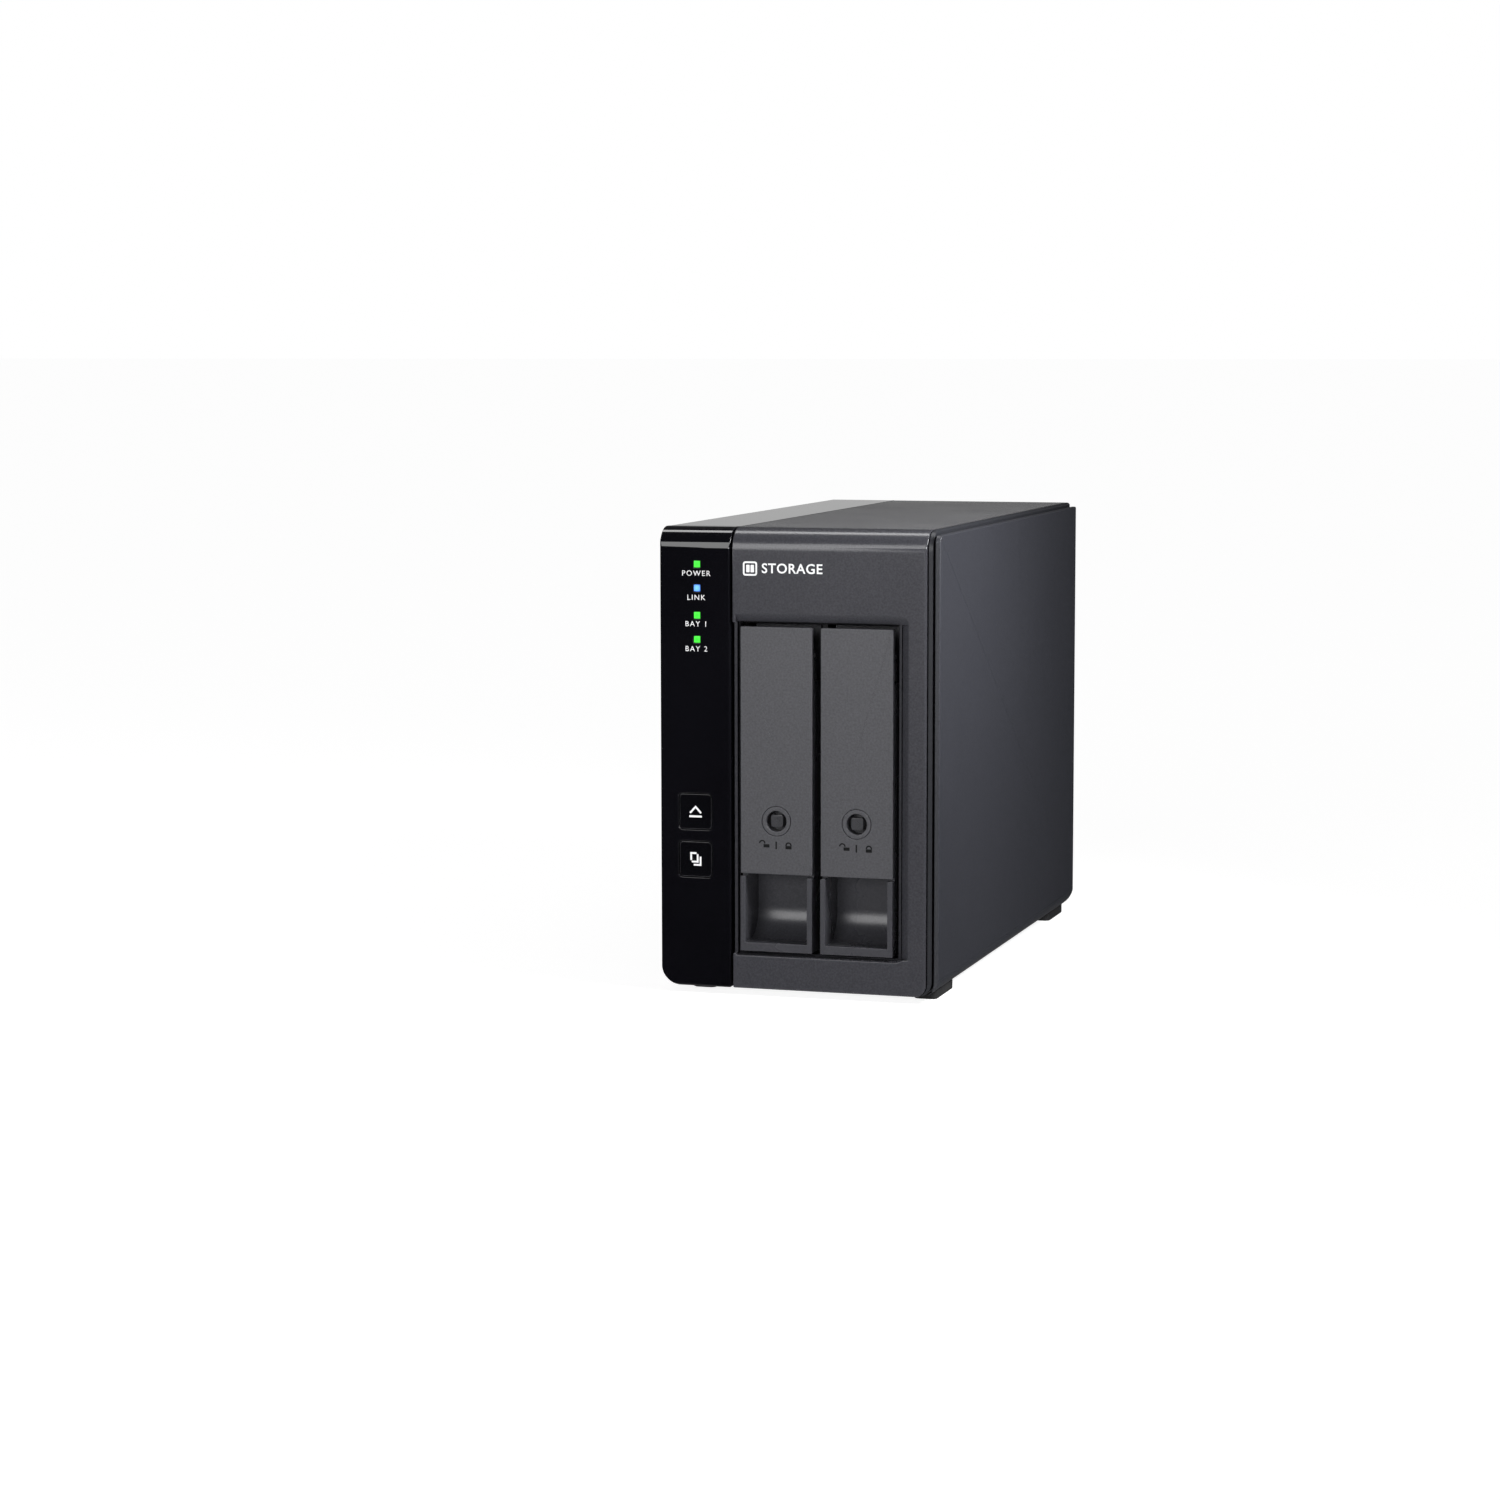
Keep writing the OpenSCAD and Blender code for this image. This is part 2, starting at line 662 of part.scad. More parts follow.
module dc_inlet() color("#121214") {
    difference() {
        union() {
            box(dc_x - dc_side / 2, dc_x + dc_side / 2, rear_y0 - 11, rear_y0 - 0.1,
                dc_z - dc_side / 2, dc_z + dc_side / 2);
            rod_y(rear_y0 - 1, rear_y1 + 0.6, dc_x, dc_z, dc_bore_r + 1);
        }
        rod_y(rear_y0 - 8.5, rear_y1 + 2, dc_x, dc_z, dc_bore_r);
    }
    rod_y(rear_y0 - 9, rear_y1 - 0.6, dc_x, dc_z, dc_pin_r);
}

module power_button() color("#1a1a1d") {
    rod_y(rear_y0 - button_foot, rear_y1 + 1.2, power_x, power_z, power_r);
    rod_y(rear_y0 - button_foot, rear_y0 - 0.3, power_x, power_z, power_r + 0.9);
}

module power_switch() color("#3f4044") {
    box(power_x - 4, main_x0 - 0.02, rear_y0 - 9, rear_y0 - 3.6, power_z - 4, power_z + 4);
    rod_y(rear_y0 - 3.7, rear_y0 - button_foot - power_travel - play, power_x, power_z, 1.8);
}

module mode_switch_bank() color("#2d5fa8") {
    difference() {
        union() {
            box(mode_x - mode_w / 2, mode_x + mode_w / 2, rear_y0 - 3, rear_y1 + 0.2,
                mode_z - mode_h / 2, mode_z + mode_h / 2);
            box(mode_x - 1, main_x0 - 0.02, rear_y0 - 4.5, rear_y0 - 2.9, mode_z - 5, mode_z + 5);
        }
        for (i = [-1 : 1]) box(mode_x - slider_slot, mode_x + slider_slot, rear_y0 - 1.4, rear_y1 + 1,
            mode_z + i * mode_pitch - 0.75, mode_z + i * mode_pitch + 0.75);
    }
}

module mode_slider(i) {
    z = mode_z + (i - 1) * mode_pitch;
    x0 = mode_x - slider_slot + play;
    box(x0, x0 + slider_len, rear_y0 - 1.3, rear_y1 - 0.1, z - 0.65, z + 0.65);
    box(x0 + 0.3, x0 + slider_len - 0.3, rear_y1 - 0.2, rear_y1 + 0.6, z - 0.5, z + 0.5);
}

module mode_slider_1() color("white") mode_slider(2);

module mode_slider_2() color("white") mode_slider(1);

module mode_slider_3() color("white") mode_slider(0);

// ---- Fan ----

module fan_frame() color("#161618") {
    half = fan_w / 2;
    difference() {
        along_y(fan_y0, fan_y1) panel(fan_x - half, fan_z - half, fan_x + half, fan_z + half,
            [3, 3, 3, 3]);
        translate([fan_x, fan_y1 + 1, fan_z]) rotate([90, 0, 0])
            cylinder(h = fan_t + 2, r = duct_r, $fn = fine_fn);
        for (dx = [-1, 1], dz = [-1, 1])
            rod_y(fan_y0 - 1, fan_y1 + 1, fan_x + dx * fan_pitch / 2, fan_z + dz * fan_pitch / 2,
                screw_r + 0.03);
    }
    // Motor mount on four arms, with the bearing tube
    difference() {
        union() {
            rod_y(fan_y1 - 2, fan_y1, fan_x, fan_z, hub_r);
            for (a = [45 : 90 : 315]) translate([fan_x, fan_y1 - 1, fan_z]) rotate([0, a, 0])
                translate([0, -1, -1.5]) cube([duct_r + 0.5, 2, 3]);
            rod_y(fan_y1 - 9, fan_y1 - 1, fan_x, fan_z, 3.5);
        }
        rod_y(fan_y1 - 10, fan_y1 - 1, fan_x, fan_z, shaft_r + 0.05);
    }
}

// Hub cup with angled blades on a short shaft
module fan_rotor() color("#1f1f22") {
    rod_y(fan_y1 - 9.8, fan_y1 - 1.4, fan_x, fan_z, shaft_r);
    difference() {
        rod_y(fan_y0 + 0.8, fan_y1 - 2.4, fan_x, fan_z, hub_r);
        rod_y(fan_y0 + 2.6, fan_y1, fan_x, fan_z, hub_r - 1.6);
    }
    rod_y(fan_y0 + 2, fan_y1 - 9.3, fan_x, fan_z, shaft_r + 1.5);
    intersection() {
        for (i = [0 : blades - 1]) translate([fan_x, (fan_y0 + fan_y1) / 2 - 1, fan_z])
            rotate([0, i * 360 / blades, 0]) rotate([38, 0, 0])
                translate([hub_r - 1, -0.7, -9]) cube([duct_r, 1.4, 18]);
        difference() {
            rod_y(fan_y0 + 0.8, fan_y1 - 2.8, fan_x, fan_z, duct_r - 1.2);
            rod_y(fan_y0, fan_y1, fan_x, fan_z, hub_r - 0.8);
        }
    }
}

// Lead from the fan down to its header on the main board
module fan_lead() color("#b02a22") {
    lead_r = 1.1;
    lead_x = -18;
    lead_y = fan_y1 - 6;
    turn_r = 5;
    turn_z = 52;
    fan_bottom = fan_z - fan_w / 2;
    rod_z(turn_z, fan_bottom - 0.02, lead_x, lead_y, lead_r);
    translate([lead_x - turn_r, lead_y, turn_z]) rotate([90, 0, 0]) rotate([0, 0, -90])
        rotate_extrude(angle = 90) translate([turn_r, 0]) circle(lead_r);
    rod_x(main_x1 + 3, lead_x - turn_r, lead_y, turn_z - turn_r, lead_r);
    box(main_x1 + 0.02, main_x1 + 3.2, lead_y - 4, lead_y + 4, turn_z - turn_r - 3, turn_z - turn_r + 3);
}

// ---- Screws ----

// Pan-head screw from the rear; the head sits on y_on
module rear_screw(x, z, y_on, length, head_r) {
    rod_y(y_on - length, y_on + 0.2, x, z, screw_r);
    difference() {
        rod_y(y_on + 0.02, y_on + 1.8, x, z, head_r);
        for (a = [0, 90]) translate([x, y_on + 1.4, z]) rotate([0, a, 0])
            cube([head_r * 1.1, 1.4, 0.7], center = true);
    }
}

module fan_screws() color("#3c3d41") {
    for (dx = [-1, 1], dz = [-1, 1])
        rear_screw(fan_x + dx * fan_pitch / 2, fan_z + dz * fan_pitch / 2, rear_y1, 12, 3.2);
}

module rear_screws() color("#3c3d41") {
    for (x = [-boss_screw_x, boss_screw_x], z = boss_screw_z) rear_screw(x, z, rear_y1, 9, 2.8);
}

module cage_screws() color("#8d9095") {
    for (x = cage_screw_x, y = cage_screw_y) {
        rod_z(cage_z0 - 6, cage_z0 + cage_t + 0.1, x, y, screw_r);
        rod_z(cage_z0 + cage_t + 0.02, cage_z0 + cage_t + 1.6, x, y, 2.6);
    }
}

module board_screws() color("#8d9095") {
    for (y = main_hole_y, z = main_hole_z) {
        rod_x(main_x0 - 0.1, cage_x0 + 0.5, y, z, screw_r);
        rod_x(main_x0 - 1.6, main_x0 - 0.02, y, z, 2.6);
    }
}

// ---- Trays ----

// Side view of the finger pocket, with its rounded floor
module pocket_view() {
    panel(tray_face_y - 1, tray_z0 + 3, tray_face_y + pocket_d, plate_z0 + 6, [0, pocket_r, 3, 0]);
}

module tray_body(c) {
    half = tray_w / 2;
    difference() {
        union() {
            // Block behind the handle and the frame round the pocket
            box(c - half, c + half, block_y0, block_y1, tray_z0, pivot_z - 9);
            along_y(tray_face_y, block_y0 + eps)
                panel(c - half, tray_z0, c + half, plate_z0 - 0.9, [0, 0, 0.4, 0.4]);
            // Wall up to the upper rail
            box(c - rail_half, c + rail_half, block_y1 - 2, block_y1, pivot_z - 9.1, tray_z1);
            // Ears for the handle's pin
            for (s = [-1, 1]) {
                ear_a = min(s * ear_x0, s * ear_x1);
                box(c + ear_a, c + ear_a + ear_x1 - ear_x0, pivot_y - knuckle_r + 0.3,
                    pivot_y + knuckle_r, pivot_z - 10, pivot_z);
                rod_x(c + ear_a, c + ear_a + ear_x1 - ear_x0, pivot_y, pivot_z, knuckle_r);
            }
            // Rails above and below the drive
            for (z = [tray_z0, tray_z1 - rail_h])
                box(c - rail_half, c + rail_half, block_y1 - eps, rail_y1, z, z + rail_h);
        }
        along_x(c - pocket_w / 2, c + pocket_w / 2) pocket_view();
        // Channel behind the handle plate, for the lock
        box(c - 11.2, c + 11.2, block_y0 - 1, block_y1 - 2, plate_z0 + 10, pivot_z - 8);
        rod_x(c - half - 1, c + half + 1, pivot_y, pivot_z, pin_r + 0.02);
        // Holes for the strips' clips
        for (y = [drive_y1 - side_hole_back, drive_y1 - side_hole_back - side_hole_pitch])
            rod_z(tray_z0 - 1, tray_z1 + 1, c, y, 2.2);
        // Lightening slots in the rails
        for (y = [block_y1 + 30, block_y1 + 68]) translate([c, y]) {
            along_z(tray_z0 - 1, tray_z0 + rail_h + 1) panel(-5, 0, 5, 26, [2, 2, 2, 2]);
            along_z(tray_z1 - rail_h - 1, tray_z1 + 1) panel(-5, 0, 5, 26, [2, 2, 2, 2]);
        }
    }
}

module handle_plate(c) {
    half = tray_w / 2;
    difference() {
        union() {
            along_y(plate_y0, plate_y1)
                panel(c - half, plate_z0, c + half, tray_z1, [0.3, 0.3, 0.5, 0.5]);
            // Knuckle between the ears, on a web
            rod_x(c - knuckle_half, c + knuckle_half, pivot_y, pivot_z, knuckle_r);
            box(c - knuckle_half, c + knuckle_half, plate_y1 - 0.1, pivot_y, pivot_z - knuckle_r,
                pivot_z + knuckle_r);
        }
        rod_x(c - knuckle_half - 1, c + knuckle_half + 1, pivot_y, pivot_z, pin_r + 0.05);
        rod_y(plate_y0 - 1, plate_y1 + 1, c, lock_z, lock_r + 0.1);
    }
}

module handle_pin(c) {
    rod_x(c - ear_x1 + 0.1, c + ear_x1 - 0.1, pivot_y, pivot_z, pin_r);
}

// Fixed ring with the round keyway
module lock_ring(c) {
    difference() {
        union() {
            rod_y(plate_y0, plate_y1 + 4.5, c, lock_z, lock_r);
            rod_y(plate_y1 + 0.05, plate_y1 + 1, c, lock_z, lock_r + 1.2);
        }
        rod_y(plate_y0 - 1, plate_y1 + 6, c, lock_z, keyway_r);
    }
}

// Turning core: square drive in the keyway, disc behind it and the cam at the back
module lock_core(c) {
    back = plate_y1 + 4.5;
    s = lock_square / 2;
    along_y(plate_y0 + 1, back) panel(c - s, lock_z - s, c + s, lock_z + s, [0.7, 0.7, 0.7, 0.7]);
    rod_y(back - 2.5, back + 0.3, c, lock_z, keyway_r - 0.05);
    rod_y(back + 0.2, back + 1.4, c, lock_z, keyway_r - 0.4);
    along_y(back + 0.25, back + 1.75) panel(c - 2, lock_z - 3, c + 2, lock_z + 8.5, [1, 1, 1.9, 1.9]);
}

// Two plastic strips whose studs snap into the drive's side holes
module drive_strips(c) {
    x = c + drive_t / 2 - side_hole_in;
    for (s = [0, 1]) {
        z0 = s == 0 ? tray_z0 + rail_h + 0.05 : drive_z1 + 0.1;
        z1 = s == 0 ? drive_z0 - 0.1 : tray_z1 - rail_h - 0.05;
        box(c - 9, c + 11, drive_y0 + 8, drive_y1 - 12, z0, z1);
        for (k = [0, 1]) {
            y = drive_y1 - side_hole_back - k * side_hole_pitch;
            if (s == 0) rod_z(z1 - 0.1, z1 + 3, x, y, side_hole_r - 0.15);
            else rod_z(z0 - 3, z0 + 0.1, x, y, side_hole_r - 0.15);
        }
    }
}

// 3.5 inch drive on edge: casting, lid, circuit board and the notch for its connector
module hard_drive(c) {
    x0 = c - drive_t / 2;
    x1 = c + drive_t / 2;
    difference() {
        along_x(x0, x1) panel(drive_y0, drive_z0, drive_y1, drive_z1, [2, 2, 2, 2]);
        // Recess of the circuit board
        box(x1 - 1.2, x1 + 1, drive_y0 + 30, drive_y1 - 3, drive_z0 + 4, drive_z1 - 4);
        // Step round the lid
        difference() {
            box(x0 - 1, x0 + 0.8, drive_y0 - 1, drive_y1 + 1, drive_z0 - 1, drive_z1 + 1);
            along_x(x0 - 1, x0 + 1) panel(drive_y0 + 4, drive_z0 + 3, drive_y1 - 8, drive_z1 - 3,
                [6, 6, 6, 6]);
        }
        // Connector notch
        box(c + sata_off - 3, c + sata_off + 3, drive_y1 - 5, drive_y1 + 1, sata_z - sata_len / 2 - 1,
            sata_z + sata_len / 2 + 1);
        for (k = [0, 1]) {
            y = drive_y1 - side_hole_back - k * side_hole_pitch;
            rod_z(drive_z0 - 1, drive_z0 + 4, x1 - side_hole_in, y, side_hole_r);
            rod_z(drive_z1 - 4, drive_z1 + 1, x1 - side_hole_in, y, side_hole_r);
        }
    }
}

tray_x2 = tray_x + tray_pitch;

module tray_body_1() color("#1e1f22") tray_body(tray_x);

module tray_body_2() color("#1e1f22") tray_body(tray_x2);

module handle_plate_1() color("#46474b") handle_plate(tray_x);

module handle_plate_2() color("#46474b") handle_plate(tray_x2);

module handle_pin_1() color("silver") handle_pin(tray_x);

module handle_pin_2() color("silver") handle_pin(tray_x2);

module lock_ring_1() color("#46474b") lock_ring(tray_x);

module lock_ring_2() color("#46474b") lock_ring(tray_x2);

module lock_core_1() color("#1a1a1c") lock_core(tray_x);

module lock_core_2() color("#1a1a1c") lock_core(tray_x2);

module drive_strips_1() color("#2a4f86") drive_strips(tray_x);

module drive_strips_2() color("#2a4f86") drive_strips(tray_x2);

module hard_drive_1() color("#a7a9ad") hard_drive(tray_x);

module hard_drive_2() color("#a7a9ad") hard_drive(tray_x2);

front_bezel();
gloss_panel();
top_cover();
top_gloss_strip();
right_frame();
right_side_cover();
left_side_cover();
base_plate();
rubber_feet();
rear_panel();
drive_cage();
lower_guide();
upper_guide();
status_lamp();
link_lamp();
drive_lamp_1();
drive_lamp_2();
lamp_emitters();
eject_button();
set_button();
button_switches();
front_board();
front_ribbon();
ribbon_connectors();
main_board();
controller_chip();
heatsink();
backplane_board();
sata_connectors();
usb_port();
dc_inlet();
power_button();
power_switch();
mode_switch_bank();
mode_slider_1();
mode_slider_2();
mode_slider_3();
fan_frame();
fan_rotor();
fan_lead();
fan_screws();
rear_screws();
cage_screws();
board_screws();
tray_body_1();
handle_plate_1();
handle_pin_1();
lock_ring_1();
lock_core_1();
drive_strips_1();
hard_drive_1();
tray_body_2();
handle_plate_2();
handle_pin_2();
lock_ring_2();
lock_core_2();
drive_strips_2();
hard_drive_2();
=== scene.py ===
"""Finished look of a two-bay desktop storage enclosure, built round its packed model."""
import json
import math

import bmesh
import bpy
from bpy.props import FloatProperty, FloatVectorProperty, PointerProperty
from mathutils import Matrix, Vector


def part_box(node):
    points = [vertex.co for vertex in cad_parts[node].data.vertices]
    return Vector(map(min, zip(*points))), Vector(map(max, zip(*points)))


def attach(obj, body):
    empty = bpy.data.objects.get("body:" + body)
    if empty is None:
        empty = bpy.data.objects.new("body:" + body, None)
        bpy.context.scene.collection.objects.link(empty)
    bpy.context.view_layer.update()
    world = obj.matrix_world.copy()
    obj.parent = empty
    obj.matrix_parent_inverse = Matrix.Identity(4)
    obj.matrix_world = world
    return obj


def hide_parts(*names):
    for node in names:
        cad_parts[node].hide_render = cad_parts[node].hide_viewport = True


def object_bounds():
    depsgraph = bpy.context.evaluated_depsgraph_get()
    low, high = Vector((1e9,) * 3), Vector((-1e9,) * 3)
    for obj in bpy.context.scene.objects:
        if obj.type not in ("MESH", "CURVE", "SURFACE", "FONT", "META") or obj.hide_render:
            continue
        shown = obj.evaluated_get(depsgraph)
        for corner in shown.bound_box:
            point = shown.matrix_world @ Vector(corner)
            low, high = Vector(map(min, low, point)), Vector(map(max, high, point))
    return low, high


bl_info = {
    "name": "Two-bay storage enclosure",
    "version": (1, 0, 0),
    "blender": (4, 5, 0),
    "location": "View3D > Sidebar > Storage",
    "description": "Finishes the shells, trays, drives and electronics of a two-bay storage enclosure",
    "category": "Add Mesh",
}

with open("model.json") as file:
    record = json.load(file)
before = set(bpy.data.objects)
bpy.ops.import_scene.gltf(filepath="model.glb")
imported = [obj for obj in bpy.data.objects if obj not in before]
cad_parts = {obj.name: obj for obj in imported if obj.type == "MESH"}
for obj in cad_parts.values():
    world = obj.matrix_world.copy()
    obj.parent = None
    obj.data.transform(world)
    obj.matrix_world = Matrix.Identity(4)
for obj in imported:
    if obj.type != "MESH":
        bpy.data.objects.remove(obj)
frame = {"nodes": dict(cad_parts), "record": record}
CAD_BOX = [list(corner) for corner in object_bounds()]

RECORD = frame["record"]
BODY_OF = {node: body for body, nodes in RECORD["behaviour"]["bodies"].items() for node in nodes}
SLOT_OF = {part["node"]: part["material_slot"] for part in RECORD["subparts"]}

MM = 0.001
FRONT_Y = CAD_BOX[0][1] / MM
TRAYS = (1, 2)
# Nodes with wide flat faces round an opening, which are split before their edges are rounded
OPEN_FACES = ("front_bezel", "lock_core_1", "lock_core_2")
FRONT = (0, -1, 0)
REAR = (0, 1, 0)
RIGHT = (1, 0, 0)
LEFT = (-1, 0, 0)
UP = (0, 0, 1)


# ---- Selecting, joining and placing ----


def clear_selection():
    """Leaves edit mode and deselects every object."""
    if bpy.context.mode != "OBJECT":
        bpy.ops.object.mode_set(mode="OBJECT")
    bpy.ops.object.select_all(action="DESELECT")


def select_only(piece):
    """Makes one piece the selected and active object."""
    clear_selection()
    piece.select_set(True)
    bpy.context.view_layer.objects.active = piece


def settle(piece):
    """Puts the object's place, turn and scale into its mesh."""
    select_only(piece)
    bpy.ops.object.transform_apply(location=True, rotation=True, scale=True)
    return piece


def take_new(name):
    """The object that an operator has just added, under its own name."""
    piece = bpy.context.view_layer.objects.active
    piece.name = name
    piece.data.name = name
    return piece


def join(pieces, name):
    """Several pieces as one object."""
    select_only(pieces[0])
    for piece in pieces[1:]:
        piece.select_set(True)
    if len(pieces) > 1:
        bpy.ops.object.join()
    return take_new(name)


def pick_faces(piece, test):
    """In edit mode, selects the faces whose middle and normal pass a test."""
    mesh = bmesh.from_edit_mesh(piece.data)
    for face in mesh.faces:
        face.select_set(test(face.calc_center_median(), face.normal))
    mesh.select_flush_mode()
    bmesh.update_edit_mesh(piece.data)


def apply_modifier(piece, kind, **settings):
    """Adds one modifier with its settings and applies it."""
    select_only(piece)
    modifier = piece.modifiers.new(kind.lower(), kind)
    for key, value in settings.items():
        setattr(modifier, key, value)
    bpy.ops.object.modifier_apply(modifier=modifier.name)


SMOOTH_ANGLE = math.radians(60)
FLAT_ANGLE = math.radians(0.6)
FINE_WELD = 0.002


def soften(piece, width, segments=2, angle=35):
    """Rounds the sharp edges and shades the faces as flat walls with smooth corners."""
    if width > 0:
        apply_modifier(piece, "BEVEL", limit_method="ANGLE", angle_limit=math.radians(angle),
                       width=width * MM, segments=segments, use_clamp_overlap=False)
    select_only(piece)
    bpy.ops.object.shade_smooth_by_angle(angle=SMOOTH_ANGLE)
    apply_modifier(piece, "WEIGHTED_NORMAL", keep_sharp=True, weight=100)
    return piece


def finished(piece, body, material, slot, *nodes):
    """Gives a piece its material and its body, and hides the CAD nodes that it stands for; the slot is not
    used.
    """
    piece.data.materials.clear()
    piece.data.materials.append(MATERIALS[material]())
    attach(piece, body)
    if nodes:
        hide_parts(*nodes)
    clear_selection()
    return piece


def finish_node(node, material, width, weld=FINE_WELD):
    """A CAD node's shape with merged points and soft edges, which stands for the node."""
    name = node + "_finish"
    piece = bpy.data.objects.new(name, frame["nodes"][node].data.copy())
    piece.data.name = name
    bpy.context.scene.collection.objects.link(piece)
    select_only(piece)
    bpy.ops.object.mode_set(mode="EDIT")
    bpy.ops.mesh.select_all(action="SELECT")
    bpy.ops.mesh.remove_doubles(threshold=weld * MM)
    bpy.ops.mesh.dissolve_limited(angle_limit=FLAT_ANGLE)
    if node in OPEN_FACES:
        bpy.ops.mesh.quads_convert_to_tris(quad_method="BEAUTY", ngon_method="CLIP")
    bpy.ops.object.mode_set(mode="OBJECT")
    soften(piece, width)
    return finished(piece, BODY_OF[node], material, SLOT_OF[node], node)


def centre(node):
    """Middle of a CAD node's box, in millimetres."""
    low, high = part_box(node)
    return (low + high) / 2 / MM


def low_of(node):
    """Lowest corner of a CAD node's box, in millimetres."""
    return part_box(node)[0] / MM


def high_of(node):
    """Highest corner of a CAD node's box, in millimetres."""
    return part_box(node)[1] / MM


# ---- Shapes, all sizes in millimetres ----

# Height of a capital as a share of the text size
CAPITAL_SHARE = 0.73
PRINT_LAYER = 0.03


def block(name, low, high, edge=0.15, segments=2):
    """Box between two corners with rounded edges."""
    low, high = Vector(low), Vector(high)
    clear_selection()
    bpy.ops.mesh.primitive_cube_add(size=1, location=(low + high) / 2 * MM)
    piece = take_new(name)
    piece.scale = (high - low) * MM
    settle(piece)
    bpy.ops.object.mode_set(mode="EDIT")
    bpy.ops.mesh.select_all(action="SELECT")
    bpy.ops.mesh.bevel(offset=edge * MM, segments=segments, affect="EDGES")
    bpy.ops.object.mode_set(mode="OBJECT")
    return soften(piece, 0)


def turn_for(axis):
    """Rotation that lays the Z axis along an axis."""
    return Vector(UP).rotation_difference(Vector(axis)).to_euler()


def drum(name, middle, radius, depth, axis=UP, edge=0.1, sides=32, segments=2):
    """Cylinder round a middle, with rounded rims."""
    clear_selection()
    bpy.ops.mesh.primitive_cylinder_add(vertices=sides, radius=radius * MM, depth=depth * MM,
                                        location=Vector(middle) * MM, rotation=turn_for(axis))
    piece = settle(take_new(name))
    return soften(piece, edge, segments, angle=60)


def washer(name, middle, outer, inner, depth, axis=UP, edge=0.08, sides=40):
    """Flat ring, made by insetting a disc and opening its middle."""
    clear_selection()
    bpy.ops.mesh.primitive_cylinder_add(vertices=sides, radius=outer * MM, depth=depth * MM)
    piece = take_new(name)
    bpy.ops.object.mode_set(mode="EDIT")
    bpy.ops.mesh.select_mode(type="FACE")
    pick_faces(piece, lambda spot, normal: abs(normal.z) > 0.9)
    bpy.ops.mesh.inset(thickness=(outer - inner) * MM)
    bpy.ops.mesh.bridge_edge_loops()
    bpy.ops.object.mode_set(mode="OBJECT")
    piece.location = Vector(middle) * MM
    piece.rotation_euler = turn_for(axis)
    settle(piece)
    return soften(piece, edge, 2, angle=60)


def stroke(points, width):
    """Outline of a line of even width through some points, with square corners."""
    path = [Vector(p) for p in points]
    left, right = [], []
    for i, spot in enumerate(path):
        before = (spot - path[i - 1]).normalized() if i else (path[1] - spot).normalized()
        after = (path[i + 1] - spot).normalized() if i + 1 < len(path) else before
        along = (before + after).normalized()
        side = Vector((-along.y, along.x)) * width / 2 / max(along.dot(before), 0.3)
        left.append(spot + side)
        right.append(spot - side)
    return left + right[::-1]


def arc(x, y, radius, start, stop, steps=12):
    """Points along an arc, angles in degrees."""
    angles = [math.radians(start + (stop - start) * i / steps) for i in range(steps + 1)]
    return [Vector((x + radius * math.cos(a), y + radius * math.sin(a))) for a in angles]


def rounded(x0, y0, x1, y1, radius, steps=4):
    """Outline of a rectangle with round corners."""
    return (arc(x1 - radius, y0 + radius, radius, -90, 0, steps)
            + arc(x1 - radius, y1 - radius, radius, 0, 90, steps)
            + arc(x0 + radius, y1 - radius, radius, 90, 180, steps)
            + arc(x0 + radius, y0 + radius, radius, 180, 270, steps))


def stand_up(piece, place, facing):
    """Turns a flat mark so that it faces outwards, and puts it at its place."""
    turn = {FRONT: 0, RIGHT: 90, REAR: 180, LEFT: -90}[facing]
    piece.rotation_euler = (math.radians(90), 0, math.radians(turn))
    piece.location = Vector(place) * MM
    return settle(piece)


def mark(name, outlines, place, facing=FRONT, thickness=PRINT_LAYER):
    """Printed shape, filled inside its outlines, that lies on a face."""
    curve = bpy.data.curves.new(name, "CURVE")
    curve.dimensions = "2D"
    curve.fill_mode = "BOTH"
    curve.extrude = thickness / 2 * MM
    for outline in outlines:
        spline = curve.splines.new("POLY")
        spline.points.add(len(outline) - 1)
        for point, (x, y) in zip(spline.points, outline):
            point.co = (x * MM, y * MM, 0, 1)
        spline.use_cyclic_u = True
    piece = bpy.data.objects.new(name, curve)
    bpy.context.scene.collection.objects.link(piece)
    select_only(piece)
    bpy.ops.object.convert(target="MESH")
    return stand_up(take_new(name), place, facing)


def lettering(name, words, height, place, facing=FRONT, thickness=PRINT_LAYER, weight=0.012,
              align="CENTER", gap=1.08):
    """Printed words, whose capitals have the height given."""
    clear_selection()
    bpy.ops.object.text_add()
    piece = take_new(name)
    text = piece.data
    text.body = words
    text.align_x = align
    text.align_y = "CENTER"
    text.size = height / CAPITAL_SHARE * MM
    text.offset = weight * height * MM
    text.space_character = gap
    text.extrude = thickness / 2 * MM
    text.resolution_u = 4
    select_only(piece)
    bpy.ops.object.convert(target="MESH")
    return stand_up(take_new(name), place, facing)


# ---- Shader trees ----


